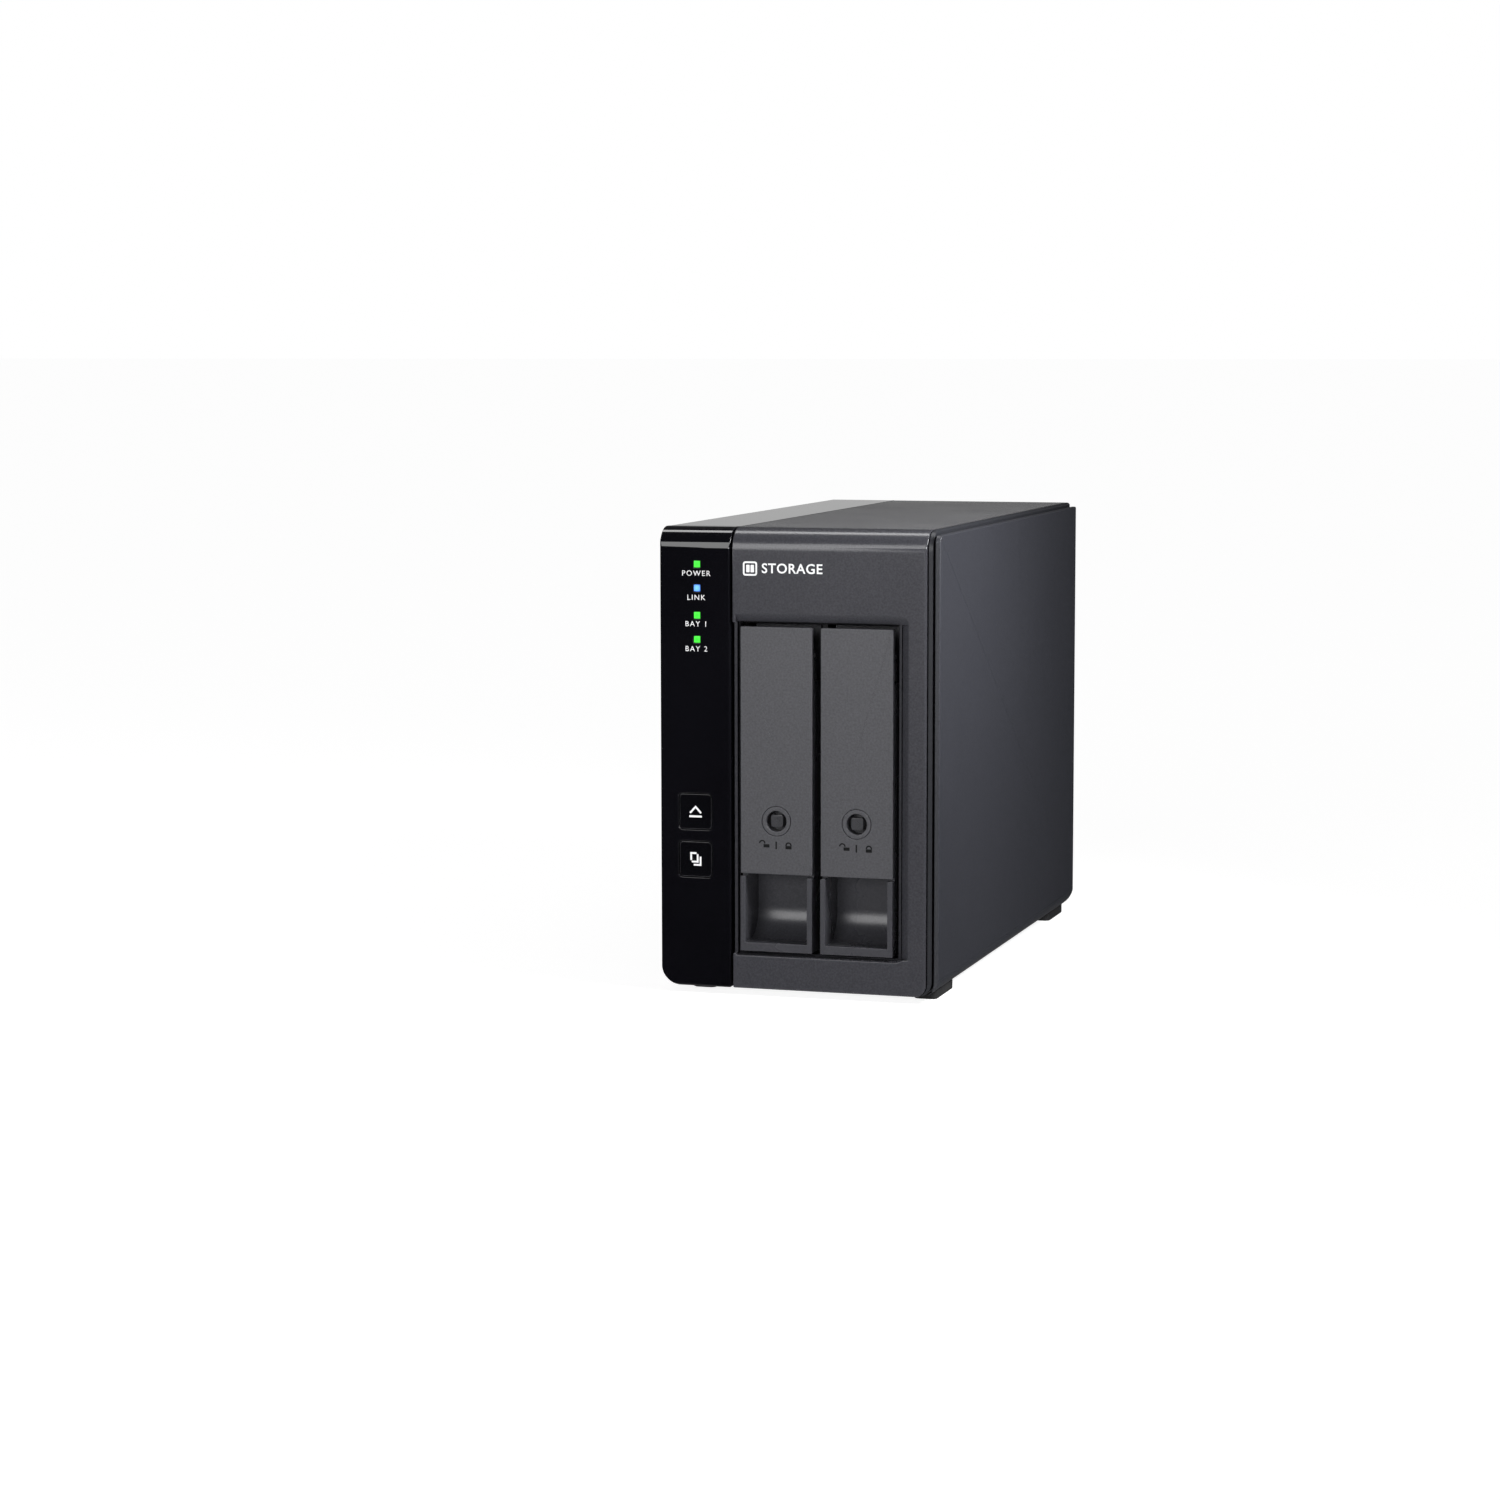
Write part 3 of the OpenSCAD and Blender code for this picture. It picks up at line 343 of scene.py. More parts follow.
class Shader:
    """Short calls that add, set and link the nodes of one tree."""

    def __init__(self, tree):
        self.tree = tree
        tree.nodes.clear()

    def add(self, kind, inputs=None, **settings):
        """Adds a node; an input that is another node's output is linked, any other value is set."""
        node = self.tree.nodes.new(kind)
        for key, value in settings.items():
            setattr(node, key, value)
        for key, value in (inputs or {}).items():
            if isinstance(value, bpy.types.NodeSocket):
                self.tree.links.new(value, node.inputs[key])
            else:
                node.inputs[key].default_value = value
        return node

    def place(self, tree, **inputs):
        """Adds a node group and returns its outputs."""
        named = {key.replace("_", " "): value for key, value in inputs.items()}
        node = self.tree.nodes.new("ShaderNodeGroup")
        node.node_tree = tree
        for key, value in named.items():
            node.inputs[key].default_value = value
        return node.outputs

    def here(self):
        """Position on the piece, in metres."""
        return self.add("ShaderNodeTexCoord").outputs["Object"]

    def noise(self, scale, detail=2.0, rough=0.5, at=None):
        """Soft random values round a half."""
        node = self.add("ShaderNodeTexNoise", {"Scale": scale, "Detail": detail, "Roughness": rough,
                                               "Vector": at or self.here()})
        return node.outputs["Fac"]

    def sum(self, operation, a, b, clamp=False):
        """Result of one piece of arithmetic."""
        node = self.add("ShaderNodeMath", {0: a, 1: b}, operation=operation, use_clamp=clamp)
        return node.outputs[0]

    def spread(self, value, low, high, to_low=0.0, to_high=1.0):
        """Value mapped from one range to another, and held inside it."""
        node = self.add("ShaderNodeMapRange", {"Value": value, "From Min": low, "From Max": high,
                                               "To Min": to_low, "To Max": to_high})
        return node.outputs["Result"]

    def tint(self, factor, first, second):
        """Blend of two colours."""
        node = self.add("ShaderNodeMix", {0: factor, 6: first, 7: second}, data_type="RGBA")
        return node.outputs[2]

    def bump(self, height, depth):
        """Normal of a surface whose relief has a depth in millimetres."""
        node = self.add("ShaderNodeBump", {"Height": height, "Distance": depth * MM, "Strength": 1.0})
        return node.outputs["Normal"]

    def surface(self, **inputs):
        """Principled surface."""
        named = {key.replace("_", " "): value for key, value in inputs.items()}
        return self.add("ShaderNodeBsdfPrincipled", named).outputs["BSDF"]


def shader_group(name, inputs, outputs, build):
    """Node group with named inputs and outputs, made once."""
    made = bpy.data.node_groups.get(name)
    if made:
        return made
    made = bpy.data.node_groups.new(name, "ShaderNodeTree")
    for label, value in inputs.items():
        socket = made.interface.new_socket(name=label, in_out="INPUT", socket_type="NodeSocketFloat")
        socket.default_value = value
    for label in outputs:
        made.interface.new_socket(name=label, in_out="OUTPUT", socket_type="NodeSocketFloat")
    shader = Shader(made)
    start = shader.add("NodeGroupInput").outputs
    end = shader.add("NodeGroupOutput").inputs
    for label, value in build(shader, start).items():
        made.links.new(value, end[label])
    return made


def mould_grain():
    """Fine spark-eroded texture of moulded plastic."""
    def build(shader, given):
        spot = shader.here()
        pits = shader.add("ShaderNodeTexVoronoi", {"Scale": given["Scale"], "Vector": spot})
        cloud = shader.noise(given["Scale"], 3.0, 0.62, spot)
        relief = shader.sum("SUBTRACT", cloud, shader.sum("MULTIPLY", pits.outputs["Distance"], 0.35))
        return {"Height": relief, "Fleck": shader.spread(cloud, 0.34, 0.66)}
    return shader_group("mould_grain", {"Scale": 1500.0}, ["Height", "Fleck"], build)


def handling_marks():
    """Broad uneven patches that hands and air leave on a surface."""
    def build(shader, given):
        cloud = shader.noise(given["Scale"], 4.0, 0.55)
        shift = shader.sum("MULTIPLY", shader.sum("SUBTRACT", cloud, 0.5), given["Amount"])
        return {"Shift": shift, "Patch": shader.spread(cloud, 0.35, 0.7)}
    return shader_group("handling_marks", {"Scale": 22.0, "Amount": 0.1}, ["Shift", "Patch"], build)


def edge_polish():
    """Mask of the outer edges, which rub smooth and where a paler painted highlight goes."""
    def build(shader, given):
        soft = shader.add("ShaderNodeBevel", {"Radius": given["Width"]}, samples=4)
        plain = shader.add("ShaderNodeNewGeometry").outputs["Normal"]
        same = shader.add("ShaderNodeVectorMath", {0: soft.outputs["Normal"], 1: plain},
                          operation="DOT_PRODUCT")
        sheen_and_wear = shader.spread(same.outputs["Value"], 0.995, 0.86)
        uneven = shader.spread(shader.noise(160.0, 3.0), 0.3, 0.7, 0.4, 1.0)
        return {"Mask": shader.sum("MULTIPLY", sheen_and_wear, uneven)}
    return shader_group("edge_polish", {"Width": 0.4 * MM}, ["Mask"], build)


def settled_dust():
    """Mask of the faint dust that lies on faces that look up."""
    def build(shader, given):
        normal = shader.add("ShaderNodeNewGeometry").outputs["Normal"]
        tilt = shader.add("ShaderNodeSeparateXYZ", {"Vector": normal}).outputs["Z"]
        level = shader.spread(tilt, 0.55, 1.0)
        motes = shader.spread(shader.noise(900.0, 2.0), 0.48, 0.75)
        drift = shader.spread(shader.noise(26.0, 3.0), 0.35, 0.75)
        cover = shader.sum("MULTIPLY", shader.sum("MULTIPLY", motes, drift), level)
        return {"Mask": shader.sum("MULTIPLY", cover, given["Amount"])}
    return shader_group("settled_dust", {"Amount": 0.1}, ["Mask"], build)


def drawn_lines():
    """Fine parallel lines of brushed, rolled or machined metal, along X, Y or Z by their stretch."""
    def build(shader, given):
        size = shader.add("ShaderNodeCombineXYZ", {"X": given["Across X"], "Y": given["Across Y"],
                                                   "Z": given["Across Z"]})
        stretched = shader.add("ShaderNodeVectorMath", {0: shader.here(), 1: size.outputs[0]},
                               operation="MULTIPLY")
        lines = shader.noise(1.0, 3.0, 0.6, stretched.outputs[0])
        return {"Height": lines, "Tone": shader.spread(lines, 0.3, 0.7)}
    sizes = {"Across X": 1200.0, "Across Y": 30.0, "Across Z": 1200.0}
    return shader_group("drawn_lines", sizes, ["Height", "Tone"], build)


# ---- Materials ----

DUST_COLOUR = (0.30, 0.29, 0.28, 1)


def make_material(name, build):
    """Material with the surface that a function builds, made once."""
    name += "_look"
    made = bpy.data.materials.get(name)
    if made:
        return made
    made = bpy.data.materials.new(name)
    made.use_nodes = True
    shader = Shader(made.node_tree)
    shader.add("ShaderNodeOutputMaterial", {"Surface": build(shader)})
    return made


def shade(colour, factor):
    """Colour made lighter or darker, with full opacity."""
    return (*(min(1.0, part * factor) for part in colour[:3]), 1)


def moulded(name, colour, roughness=0.42, grain=1500.0, depth=0.02, fleck=0.22, edge=0.35, dust=0.12,
            specular=0.5):
    """Moulded plastic with a fine grain, edges rubbed smooth and painted paler as a highlight, and a trace
    of dust.
    """
    def build(shader):
        texture = shader.place(mould_grain(), Scale=grain)
        marks = shader.place(handling_marks(), Scale=22.0, Amount=0.08)
        sheen_and_wear = shader.place(edge_polish(), Width=0.35 * MM)["Mask"]
        dusty = shader.place(settled_dust(), Amount=dust)["Mask"]
        base = shader.tint(texture["Fleck"], shade(colour, 1 - fleck), shade(colour, 1 + fleck))
        # Painted highlight: the edges are tinted paler, as much as the edge argument says; the roughness
        # below drops there as rubbed wear.
        base = shader.tint(shader.sum("MULTIPLY", sheen_and_wear, edge), base, shade(colour, 2.2))
        base = shader.tint(dusty, base, DUST_COLOUR)
        rough = shader.sum("ADD", marks["Shift"], roughness)
        rough = shader.sum("SUBTRACT", rough, shader.sum("MULTIPLY", sheen_and_wear, 0.1))
        return shader.surface(Base_Color=base, Roughness=rough, Specular_IOR_Level=specular,
                              Normal=shader.bump(texture["Height"], depth))
    return make_material(name, build)


def polished(name, colour, roughness=0.045, specular=0.5, rim=(0.05, 0.05, 0.055)):
    """Polished plastic with faint wipe marks, a few motes and edges painted paler in the rim colour as a
    highlight.
    """
    def build(shader):
        marks = shader.place(handling_marks(), Scale=14.0, Amount=0.05)
        dusty = shader.place(settled_dust(), Amount=0.06)["Mask"]
        wave = shader.noise(60.0, 1.0)
        sheen_and_wear = shader.place(edge_polish(), Width=0.3 * MM)["Mask"]
        base = shader.tint(marks["Patch"], shade(colour, 0.8), shade(colour, 1.2))
        # Painted highlight: the edges are tinted towards the rim colour.
        base = shader.tint(sheen_and_wear, base, (*rim, 1))
        base = shader.tint(dusty, base, DUST_COLOUR)
        rough = shader.sum("ADD", marks["Shift"], roughness, clamp=True)
        return shader.surface(Base_Color=base, Roughness=rough, Specular_IOR_Level=specular,
                              Normal=shader.bump(wave, 0.01))
    return make_material(name, build)


def metal(name, colour, roughness, lines, depth=0.004, spangle=0.0):
    """Bare metal with drawn lines, and crystals where it's zinc-dipped."""
    def build(shader):
        across = dict(zip(("Across_X", "Across_Y", "Across_Z"), lines))
        drawn = shader.place(drawn_lines(), **across)
        marks = shader.place(handling_marks(), Scale=18.0, Amount=0.12)
        base = shader.tint(drawn["Tone"], shade(colour, 0.86), shade(colour, 1.08))
        rough = shader.sum("ADD", marks["Shift"], roughness)
        if spangle:
            cells = shader.add("ShaderNodeTexVoronoi", {"Scale": 130.0, "Vector": shader.here()})
            tone = shader.add("ShaderNodeSeparateXYZ", {"Vector": cells.outputs["Color"]}).outputs["X"]
            base = shader.tint(shader.sum("MULTIPLY", tone, spangle), base, shade(colour, 0.7))
            rough = shader.sum("ADD", rough, shader.sum("MULTIPLY", tone, 0.12))
        return shader.surface(Base_Color=base, Metallic=1.0, Roughness=rough,
                              Normal=shader.bump(drawn["Height"], depth))
    return make_material(name, build)


def cast_metal():
    """Cast aluminium with a pitted skin."""
    colour = (0.46, 0.47, 0.49)

    def build(shader):
        texture = shader.place(mould_grain(), Scale=900.0)
        marks = shader.place(handling_marks(), Scale=30.0, Amount=0.16)
        base = shader.tint(texture["Fleck"], shade(colour, 0.82), shade(colour, 1.1))
        rough = shader.sum("ADD", marks["Shift"], 0.42)
        return shader.surface(Base_Color=base, Metallic=1.0, Roughness=rough,
                              Normal=shader.bump(texture["Height"], 0.03))
    return make_material("cast_aluminium", build)


def powder_coat():
    """Black powder coat with an orange-peel skin."""
    colour = (0.02, 0.021, 0.024)

    def build(shader):
        peel = shader.noise(750.0, 2.0, 0.45)
        marks = shader.place(handling_marks(), Scale=20.0, Amount=0.1)
        sheen_and_wear = shader.place(edge_polish(), Width=0.3 * MM)["Mask"]
        dusty = shader.place(settled_dust(), Amount=0.12)["Mask"]
        base = shader.tint(marks["Patch"], shade(colour, 0.85), shade(colour, 1.2))
        # Painted highlight: the edges are tinted paler.
        base = shader.tint(shader.sum("MULTIPLY", sheen_and_wear, 0.3), base, shade(colour, 3))
        base = shader.tint(dusty, base, DUST_COLOUR)
        rough = shader.sum("ADD", marks["Shift"], 0.45)
        return shader.surface(Base_Color=base, Roughness=rough, Normal=shader.bump(peel, 0.05))
    return make_material("powder_coat", build)


def rubber():
    """Matt black rubber with a chalky bloom."""
    colour = (0.012, 0.012, 0.013)

    def build(shader):
        texture = shader.place(mould_grain(), Scale=1100.0)
        marks = shader.place(handling_marks(), Scale=60.0, Amount=0.1)
        base = shader.tint(marks["Patch"], shade(colour, 0.8), shade(colour, 2.0))
        rough = shader.sum("ADD", marks["Shift"], 0.78)
        return shader.surface(Base_Color=base, Roughness=rough,
                              Normal=shader.bump(texture["Height"], 0.04))
    return make_material("rubber", build)


def circuit_board():
    """Green solder mask over copper tracks, with pale vias."""
    mask, copper = (0.008, 0.075, 0.028), (0.02, 0.17, 0.055)

    def build(shader):
        spot = shader.here()
        steps = shader.add("ShaderNodeVectorMath", {0: spot, 1: (0.004, 0.004, 0.004)}, operation="SNAP")
        jog = shader.noise(90.0, 1.0, 0.5, steps.outputs[0])
        parts = shader.add("ShaderNodeSeparateXYZ", {"Vector": spot}).outputs
        run = shader.sum("ADD", parts["Z"], shader.sum("MULTIPLY", jog, 0.02))
        track = shader.sum("PINGPONG", run, 0.0006)
        tracks = shader.spread(track, 0.00022, 0.0003)
        dots = shader.add("ShaderNodeTexVoronoi", {"Scale": 150.0, "Vector": spot, "Randomness": 0.8})
        vias = shader.spread(dots.outputs["Distance"], 0.14, 0.11)
        area = shader.spread(shader.noise(35.0, 1.0, 0.5, steps.outputs[0]), 0.45, 0.5)
        base = shader.tint(shader.sum("MULTIPLY", tracks, area), (*mask, 1), (*copper, 1))
        base = shader.tint(vias, base, (0.35, 0.33, 0.27, 1))
        return shader.surface(Base_Color=base, Roughness=shader.spread(vias, 0, 1, 0.3, 0.45),
                              Normal=shader.bump(tracks, 0.03))
    return make_material("circuit_board", build)


def ink(name, colour):
    """Screen-printed ink, a little uneven."""
    def build(shader):
        cover = shader.noise(1200.0, 2.0)
        base = shader.tint(shader.spread(cover, 0.3, 0.7), shade(colour, 0.9), shade(colour, 1.04))
        return shader.surface(Base_Color=base, Roughness=shader.spread(cover, 0.3, 0.7, 0.5, 0.62),
                              Specular_IOR_Level=0.2, Normal=shader.bump(cover, 0.006))
    return make_material(name, build)


def sticker():
    """Blank satin paper label."""
    def build(shader):
        fibres = shader.noise(700.0, 4.0, 0.7)
        base = shader.tint(shader.spread(fibres, 0.3, 0.7), (0.62, 0.63, 0.64, 1), (0.74, 0.75, 0.75, 1))
        return shader.surface(Base_Color=base, Roughness=shader.spread(fibres, 0.3, 0.7, 0.4, 0.55),
                              Normal=shader.bump(fibres, 0.01))
    return make_material("blank_label", build)


def lit_lens(name, edge_colour, core_colour, middle, half, strength):
    """Translucent lens, lit from behind and brighter towards its middle."""
    def build(shader):
        moved = shader.add("ShaderNodeMapping", {"Vector": shader.here(), "Location": Vector(middle) * MM},
                           vector_type="TEXTURE")
        sized = shader.add("ShaderNodeVectorMath", {0: moved.outputs[0], "Scale": 1 / (half * 1.5 * MM)},
                           operation="SCALE")
        flat = shader.add("ShaderNodeVectorMath", {0: sized.outputs[0], 1: (1, 0, 1)}, operation="MULTIPLY")
        glow = shader.add("ShaderNodeTexGradient", {"Vector": flat.outputs[0]}, gradient_type="SPHERICAL")
        frost = shader.spread(shader.noise(2500.0, 2.0), 0.3, 0.7, 0.88, 1.0)
        level = shader.sum("MULTIPLY", glow.outputs["Fac"], frost)
        light = shader.tint(level, (*edge_colour, 1), (*core_colour, 1))
        return shader.surface(Base_Color=light, Roughness=0.25, Emission_Color=light,
                              Emission_Strength=strength)
    return make_material(name, build)


def shell():
    """Colours and edges of the shells, as set in the sidebar."""
    return bpy.context.scene.storage_shell


MATERIALS = {
    "bezel": lambda: moulded("bezel_plastic", shell().bezel_colour, roughness=0.21, fleck=0.15),
    "cover": lambda: moulded("cover_plastic", shell().cover_colour, roughness=0.45),
    "rim": lambda: moulded("rim_plastic", shell().rim_colour, roughness=0.36, fleck=0.12, edge=0.2,
                           specular=0.3),
    "base": lambda: moulded("base_plastic", (0.018, 0.018, 0.021), 0.5, dust=0.2),
    "gloss": lambda: polished("polished_black", shell().gloss_colour, specular=shell().gloss_reflection),
    # The buttons' edges get a pale grey painted highlight through the rim colour.
    "button": lambda: polished("button_black", (0.003, 0.003, 0.004), specular=shell().gloss_reflection,
                               rim=(0.22, 0.22, 0.24)),
    "handle": lambda: moulded("handle_plastic", shell().handle_colour, grain=1400.0, depth=0.02, fleck=0.2),
    "tray": lambda: moulded("tray_plastic", shell().tray_colour, 0.27, fleck=0.12),
    "lock": lambda: moulded("lock_black", (0.045, 0.045, 0.050), 0.25, grain=2500.0, depth=0.006, fleck=0.1),
    "guide": lambda: moulded("black_plastic", (0.012, 0.012, 0.014), 0.5, dust=0.15),
    "blade": lambda: moulded("fan_plastic", (0.016, 0.016, 0.018), 0.38, depth=0.01, fleck=0.1, dust=0.3),
    "strip": lambda: moulded("blue_strip", (0.02, 0.06, 0.22), 0.4, fleck=0.1),
    "switch_blue": lambda: moulded("switch_blue", (0.03, 0.12, 0.4), 0.4, depth=0.01, fleck=0.1),
    "switch_white": lambda: moulded("switch_white", (0.78, 0.78, 0.76), 0.4, depth=0.01, fleck=0.04, edge=0),
    "ivory": lambda: moulded("ivory_plastic", (0.72, 0.69, 0.58), 0.45, depth=0.01, fleck=0.05, edge=0),
    "chip": lambda: moulded("chip_black", (0.018, 0.018, 0.02), 0.55, grain=3000.0, depth=0.01, fleck=0.15),
    "red": lambda: moulded("red_sleeve", (0.4, 0.02, 0.015), 0.42, depth=0.006, fleck=0.06, edge=0),
    "rubber": rubber,
    "powder": powder_coat,
    "cast": cast_metal,
    "board": circuit_board,
    "label": sticker,
    "zinc": lambda: metal("zinc_sheet", (0.58, 0.59, 0.6), 0.34, (300.0, 900.0, 300.0), spangle=0.5),
    "aluminium": lambda: metal("extruded_aluminium", (0.62, 0.63, 0.65), 0.34, (1500.0, 25.0, 1500.0)),
    "lid": lambda: metal("drive_lid", (0.56, 0.57, 0.59), 0.3, (900.0, 40.0, 900.0)),
    "nickel": lambda: metal("nickel_plate", (0.64, 0.63, 0.6), 0.22, (500.0, 500.0, 500.0)),
    "steel": lambda: metal("bright_steel", (0.6, 0.6, 0.62), 0.26, (700.0, 700.0, 90.0)),
    "black_steel": lambda: metal("black_steel", (0.05, 0.05, 0.055), 0.36, (600.0, 600.0, 600.0)),
    "gold": lambda: metal("gold_contact", (0.83, 0.6, 0.26), 0.22, (900.0, 900.0, 900.0)),
    "solder": lambda: metal("solder_tin", (0.6, 0.6, 0.58), 0.35, (400.0, 400.0, 400.0)),
    "white_ink": lambda: ink("white_ink", (0.86, 0.86, 0.87)),
    "black_ink": lambda: ink("black_ink", (0.003, 0.003, 0.0035)),
}


# ---- Sizes and colours that a user may change ----


def length(name, description, default, most):
    """Length property, given in millimetres and kept in metres."""
    return FloatProperty(name=name, description=description, default=default * MM, min=0, max=most * MM,
                         precision=5, subtype="DISTANCE", unit="LENGTH")


def colour(name, description, default):
    """Colour property."""
    return FloatVectorProperty(name=name, description=description, default=default, size=3, min=0, max=1,
                               subtype="COLOR")


class STORAGE_PG_shell(bpy.types.PropertyGroup):
    """Plastics of the housing and the trays."""

    bezel_colour: colour("Bezel", "Matt plastic of the bezel and the top", (0.041, 0.041, 0.048))
    cover_colour: colour("Side covers", "Matt plastic of the side covers", (0.024, 0.025, 0.031))
    rim_colour: colour("Rim", "Slim rim beside the bezel", (0.020, 0.021, 0.025))
    gloss_colour: colour("Polished panel", "Polished front panel and top strip", (0.0035, 0.0034, 0.0048))
    handle_colour: colour("Handles", "Long handle plates and lock rings", (0.054, 0.054, 0.061))
    tray_colour: colour("Trays", "Tray bodies with the finger pockets", (0.045, 0.045, 0.052))
    gloss_reflection: FloatProperty(name="Reflection", description="Reflection level of the polished black",
                                    default=0.5, min=0, max=1, subtype="FACTOR")
    edge: length("Edge radius", "Rounding of the moulded edges", 0.26, 0.3)


class STORAGE_PG_print(bpy.types.PropertyGroup):
    """Printed signs."""

    label_height: length("Label height", "Height of the capitals below the lamps", 1.95, 2.2)
    sign_height: length("Sign height", "Height of the sign on the bezel", 5.0, 6.0)
    line: length("Line width", "Line width of the button signs", 0.66, 1.0)
    layer: length("Ink thickness", "Thickness of the printed layer", 0.03, 0.1)


class STORAGE_PG_lamps(bpy.types.PropertyGroup):
    """Light of the four lamps."""

    green_core: colour("Green, middle", "Middle of a green lamp", (0.02, 0.72, 0.015))
    green_edge: colour("Green, edge", "Edge of a green lamp", (0.05, 0.50, 0.04))
    blue_core: colour("Blue, middle", "Middle of the blue lamp", (0.14, 0.42, 1.0))
    blue_edge: colour("Blue, edge", "Edge of the blue lamp", (0.05, 0.16, 0.65))
    brightness: FloatProperty(name="Brightness", description="Strength of the lamps' light",
                              default=0.9, min=0, max=5)


class STORAGE_PG_stage(bpy.types.PropertyGroup):
    """Floor, lights and camera."""

    floor_tone: FloatProperty(name="Floor tone", description="Lightness of the floor", default=0.4,
                              min=0, max=1, subtype="FACTOR")
    focal_length: FloatProperty(name="Focal length", description="Focal length of the camera",
                                default=87.55, min=20, max=300, unit="CAMERA")
    front_light: FloatProperty(name="Front softbox", description="Power of the softbox before the front",
                               default=9.0, min=0, max=100, unit="POWER")
    top_light: FloatProperty(name="Top softbox", description="Power of the softbox above the front edge",
                             default=3.9, min=0, max=100, unit="POWER")
    side_light: FloatProperty(name="Side softbox", description="Power of the softbox on the right",
                              default=0.65, min=0, max=100, unit="POWER")
    fill_light: FloatProperty(name="Front fill", description="Power of the fill light before the front",
                              default=7.6, min=0, max=100, unit="POWER")
    overhead_light: FloatProperty(name="Overhead light", description="Strength of the even light from above",
                                  default=0.75, min=0, max=20)


# ---- Housing ----


def finish_nodes(rows):
    """Several nodes: name, material and edge width of each."""
    return [finish_node(*row) for row in rows]


def add_detail(piece, node, material, slot=None):
    """A piece that sits on a node and moves with it."""
    return finished(piece, BODY_OF[node], material, slot or SLOT_OF[node])


def add_print(piece, node):
    """A white printed mark on a node."""
    return add_detail(piece, node, "white_ink", "switch_white")


def add_blocks(node, name, corners, edge, material, slot=None, segments=1):
    """Several small boxes on a node, each between two corners, joined as one piece."""
    parts = [block("part", low, high, edge, segments) for low, high in corners]
    return add_detail(join(parts, name), node, material, slot)


def build_housing(shell_settings):
    """Shells of the housing with soft edges."""
    edge = shell_settings.edge / MM
    finish_nodes((
        ("front_bezel", "bezel", edge, 0.1), ("gloss_panel", "gloss", edge),
        ("top_cover", "bezel", edge * 0.9), ("top_gloss_strip", "gloss", edge * 0.7),
        ("right_frame", "rim", 0.1), ("right_side_cover", "cover", edge),
        ("left_side_cover", "cover", edge), ("base_plate", "base", 0.2),
        ("rubber_feet", "rubber", 0.25), ("rear_panel", "powder", 0.12),
    ))
    # Grip lines moulded across the sole of each foot
    low, high = low_of("rubber_feet"), high_of("rubber_feet")
    half_foot, half_rib, half_width = 12.5, 0.5, 3
    for side, x in (("left", low.x + 4.25), ("right", high.x - 4.2)):
        for place, y in (("front", low.y + half_foot), ("rear", high.y - half_foot)):
            ribs = [((x - half_width, y + step - half_rib, 0.02), (x + half_width, y + step + half_rib, 0.4))
                    for step in range(-9, 10, 3)]
            add_blocks("rubber_feet", f"foot_grip_{place}_{side}", ribs, 0.15, "rubber", segments=2)


# ---- Front: lamps, buttons and print ----

LAMPS = (("status_lamp", "POWER", 3.3), ("link_lamp", "LINK", 3.4),
         ("drive_lamp_1", "BAY 1", 3.1), ("drive_lamp_2", "BAY 2", 3.4))
LABEL_X = -37.45
SIGN_X = -20.2
WORD_X = -13.4
SIGN_Z = 151.4
LENS_HALF = 1.1
CHIP_HALF = 0.6


def build_lamps(lamps):
    """Lit lenses with the emitters behind them."""
    for node, _, _ in LAMPS:
        tone = "blue" if node == "link_lamp" else "green"
        middle = centre(node)
        name = f"{tone}_lens_{node}"
        MATERIALS[name] = lambda tone=tone, name=name, middle=middle: lit_lens(
            name, getattr(lamps, tone + "_edge"), getattr(lamps, tone + "_core"), middle, LENS_HALF,
            lamps.brightness)
        finish_node(node, name, 0.12)
    finish_node("lamp_emitters", "ivory", 0.1)
    for node, _, _ in LAMPS:
        spot = centre(node)
        y = low_of("lamp_emitters").y
        chip = block(f"{node}_chip", (spot.x - CHIP_HALF, y - 0.05, spot.z - CHIP_HALF),
                     (spot.x + CHIP_HALF, y + 0.2, spot.z + CHIP_HALF), 0.1)
        add_detail(chip, "lamp_emitters", "strip" if node == "link_lamp" else "gold")


def print_labels(settings):
    """White words below the lamps."""
    height = settings.label_height / MM
    layer = settings.layer / MM
    for node, words, drop in LAMPS:
        z = centre(node).z - drop
        label = lettering(f"label_{node}", words, height, (LABEL_X, FRONT_Y, z), thickness=layer,
                          weight=0.0, gap=1.25)
        add_print(label, "gloss_panel")


def print_sign(settings):
    """Sign of an upright case with two bays, and a plain word beside it."""
    height = settings.sign_height / MM
    layer = settings.layer / MM
    wide, wall, gap, bay = height * 1.04, 0.6, 1.2, 1.25
    case = rounded(0, 0, wide, height, 0.9)
    inner = rounded(wall, wall, wide - wall, height - wall, 0.4)
    bays = [rounded(x, gap, x + bay, height - gap, 0.25) for x in (1.2, 2.8)]
    sign = mark("bay_sign", [case, inner, *bays], (SIGN_X, FRONT_Y, SIGN_Z - height / 2), thickness=layer)
    add_print(sign, "front_bezel")
    word = lettering("case_word", "STORAGE", height * 0.7, (WORD_X, FRONT_Y, SIGN_Z), thickness=layer,
                     weight=0.02, align="LEFT")
    add_print(word, "front_bezel")


